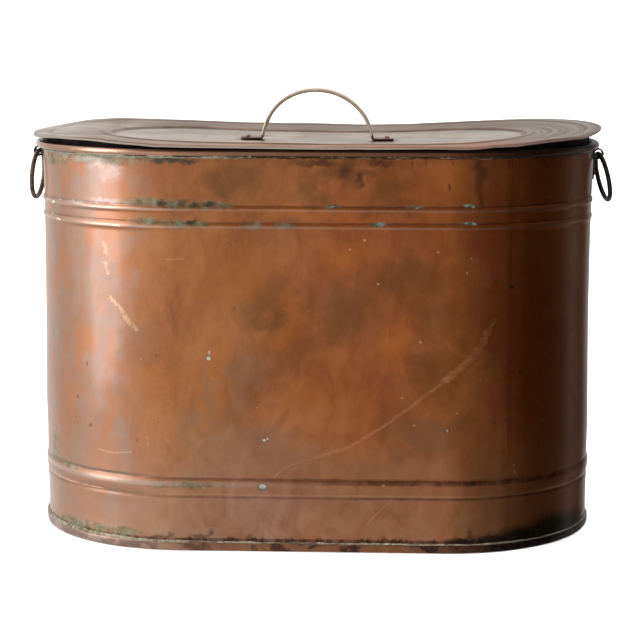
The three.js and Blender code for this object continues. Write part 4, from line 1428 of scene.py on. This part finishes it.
def build_world():
    """Even light on everything, but bright and dark directions for what the metal mirrors."""
    world = bpy.data.worlds.new("studio")
    bpy.context.scene.world = world
    world.use_nodes = True
    world.cycles.sampling_method = "NONE"
    t = Tree(world.node_tree)
    place = t.node("ShaderNodeTexCoord").outputs["Generated"]
    x, y, z = t.node("ShaderNodeSeparateXYZ", {0: place}).outputs
    turn = t.math("ARCTAN2", x, t.math("MULTIPLY", y, -1.0))
    share = t.scale(turn, -math.pi, math.pi, 0, 1)
    level, high = (t.ramp(share, glow_stops(table)) for table in (LEVEL_GLOW, HIGH_GLOW))
    glow = t.mix(t.step(z, 0.12, 0.42), level, high)
    glow = t.mix(t.step(z, 0.6, 0.95), glow, TOP_GLOW)
    mirrored = t.node("ShaderNodeBackground", {0: glow}).outputs[0]
    even = t.node("ShaderNodeBackground", {0: (1, 1, 1), 1: EVEN_GLOW}).outputs[0]
    glossy = t.node("ShaderNodeLightPath").outputs["Is Glossy Ray"]
    pick = t.node("ShaderNodeMixShader", {0: glossy, 1: even, 2: mirrored}).outputs[0]
    t.node("ShaderNodeOutputWorld", {0: pick})


def area_light(name, place, target, size, power, colour):
    data = bpy.data.lights.new(name, "AREA")
    data.shape = "RECTANGLE"
    data.size, data.size_y = size
    data.energy = power
    data.color = colour
    obj = link(name, data)
    place, target = Vector(place), Vector(target)
    obj.location = place
    obj.rotation_mode = "QUATERNION"
    obj.rotation_quaternion = (target - place).to_track_quat("-Z", "Y")
    obj.visible_camera = False


def build_floor():
    corners = [(x * FLOOR_HALF, y * FLOOR_HALF, -FLOOR_DROP) for x, y in ((-1, -1), (1, -1), (1, 1), (-1, 1))]
    mesh = bpy.data.meshes.new("floor")
    mesh.from_pydata(corners, [], [(0, 1, 2, 3)])
    mesh.materials.append(floor_paint())
    obj = link("floor", mesh)
    obj.visible_glossy = False


def build_camera():
    yaw, pitch, roll = (math.radians(v) for v in (CAMERA_YAW, CAMERA_PITCH, CAMERA_ROLL))
    forward = Vector((-math.sin(yaw) * math.cos(pitch), math.cos(yaw) * math.cos(pitch), -math.sin(pitch)))
    right = Vector((math.cos(yaw), math.sin(yaw), 0))
    up = right.cross(forward)
    level_right = math.cos(roll) * right - math.sin(roll) * up
    level_up = math.sin(roll) * right + math.cos(roll) * up
    data = bpy.data.cameras.new("camera")
    data.sensor_width = SENSOR
    data.lens = LENS_PIXELS * SENSOR / PHOTO_PIXELS
    data.clip_end = 100.0
    obj = link("camera", data)
    rows = zip(level_right, level_up, -forward, CAMERA_PLACE)
    obj.matrix_world = Matrix([*rows, (0, 0, 0, 1)])
    bpy.context.scene.camera = obj


build_camera()
build_world()
build_floor()
area_light("window", place=(-1.55, -0.75, 0.6), target=(-0.1, -0.05, 0.2), size=(0.7, 1.5), power=11,
           colour=(0.98, 0.98, 1.0))
area_light("overhead", place=(0.2, 0.3, 2.2), target=(0.0, 0.0, 0.3), size=(1.8, 1.2), power=8,
           colour=(1.0, 0.99, 0.97))

wall_copper = copper_wall()
tin = tin_lining()
shaded_underside = dark_copper()
rivet_skin = rivet_copper()
# Painted light: a lighter copy of the iron for the left ring, on the brightly lit left side
lit_left_iron = iron("lit_brown_iron", (0.035, 0.024, 0.020), (0.20, 0.155, 0.12), (0.11, 0.060, 0.045), (0.28, 0.45))
right_iron = iron("black_iron", (0.012, 0.011, 0.010), (0.05, 0.045, 0.04), (0.06, 0.035, 0.02))

body_sheet("front_wall", "front_sheet", LAP_START + PLAN_LENGTH / 2, [wall_copper, tin])
body_sheet("back_wall", "back_sheet", LAP_START, [wall_copper, tin])
rim_wire([right_iron])
rim_solder([rim_solder_metal()])
seam_solder([foot_solder()])
bottom_pan([foot_copper()])
for end, skin in (("left", lit_left_iron), ("right", right_iron)):
    lug(end, [right_iron])
    ring(end, [skin])
lug_rivets([rivet_skin])
lid_sheet([lid_copper(), shaded_underside])
lid_collar([shaded_underside])
lid_handle([handle_metal()])
lid_rivets([rivet_skin])

scene = bpy.context.scene
scene.view_settings.view_transform = "Standard"
scene.view_settings.look = "None"
scene.cycles.use_denoising = True
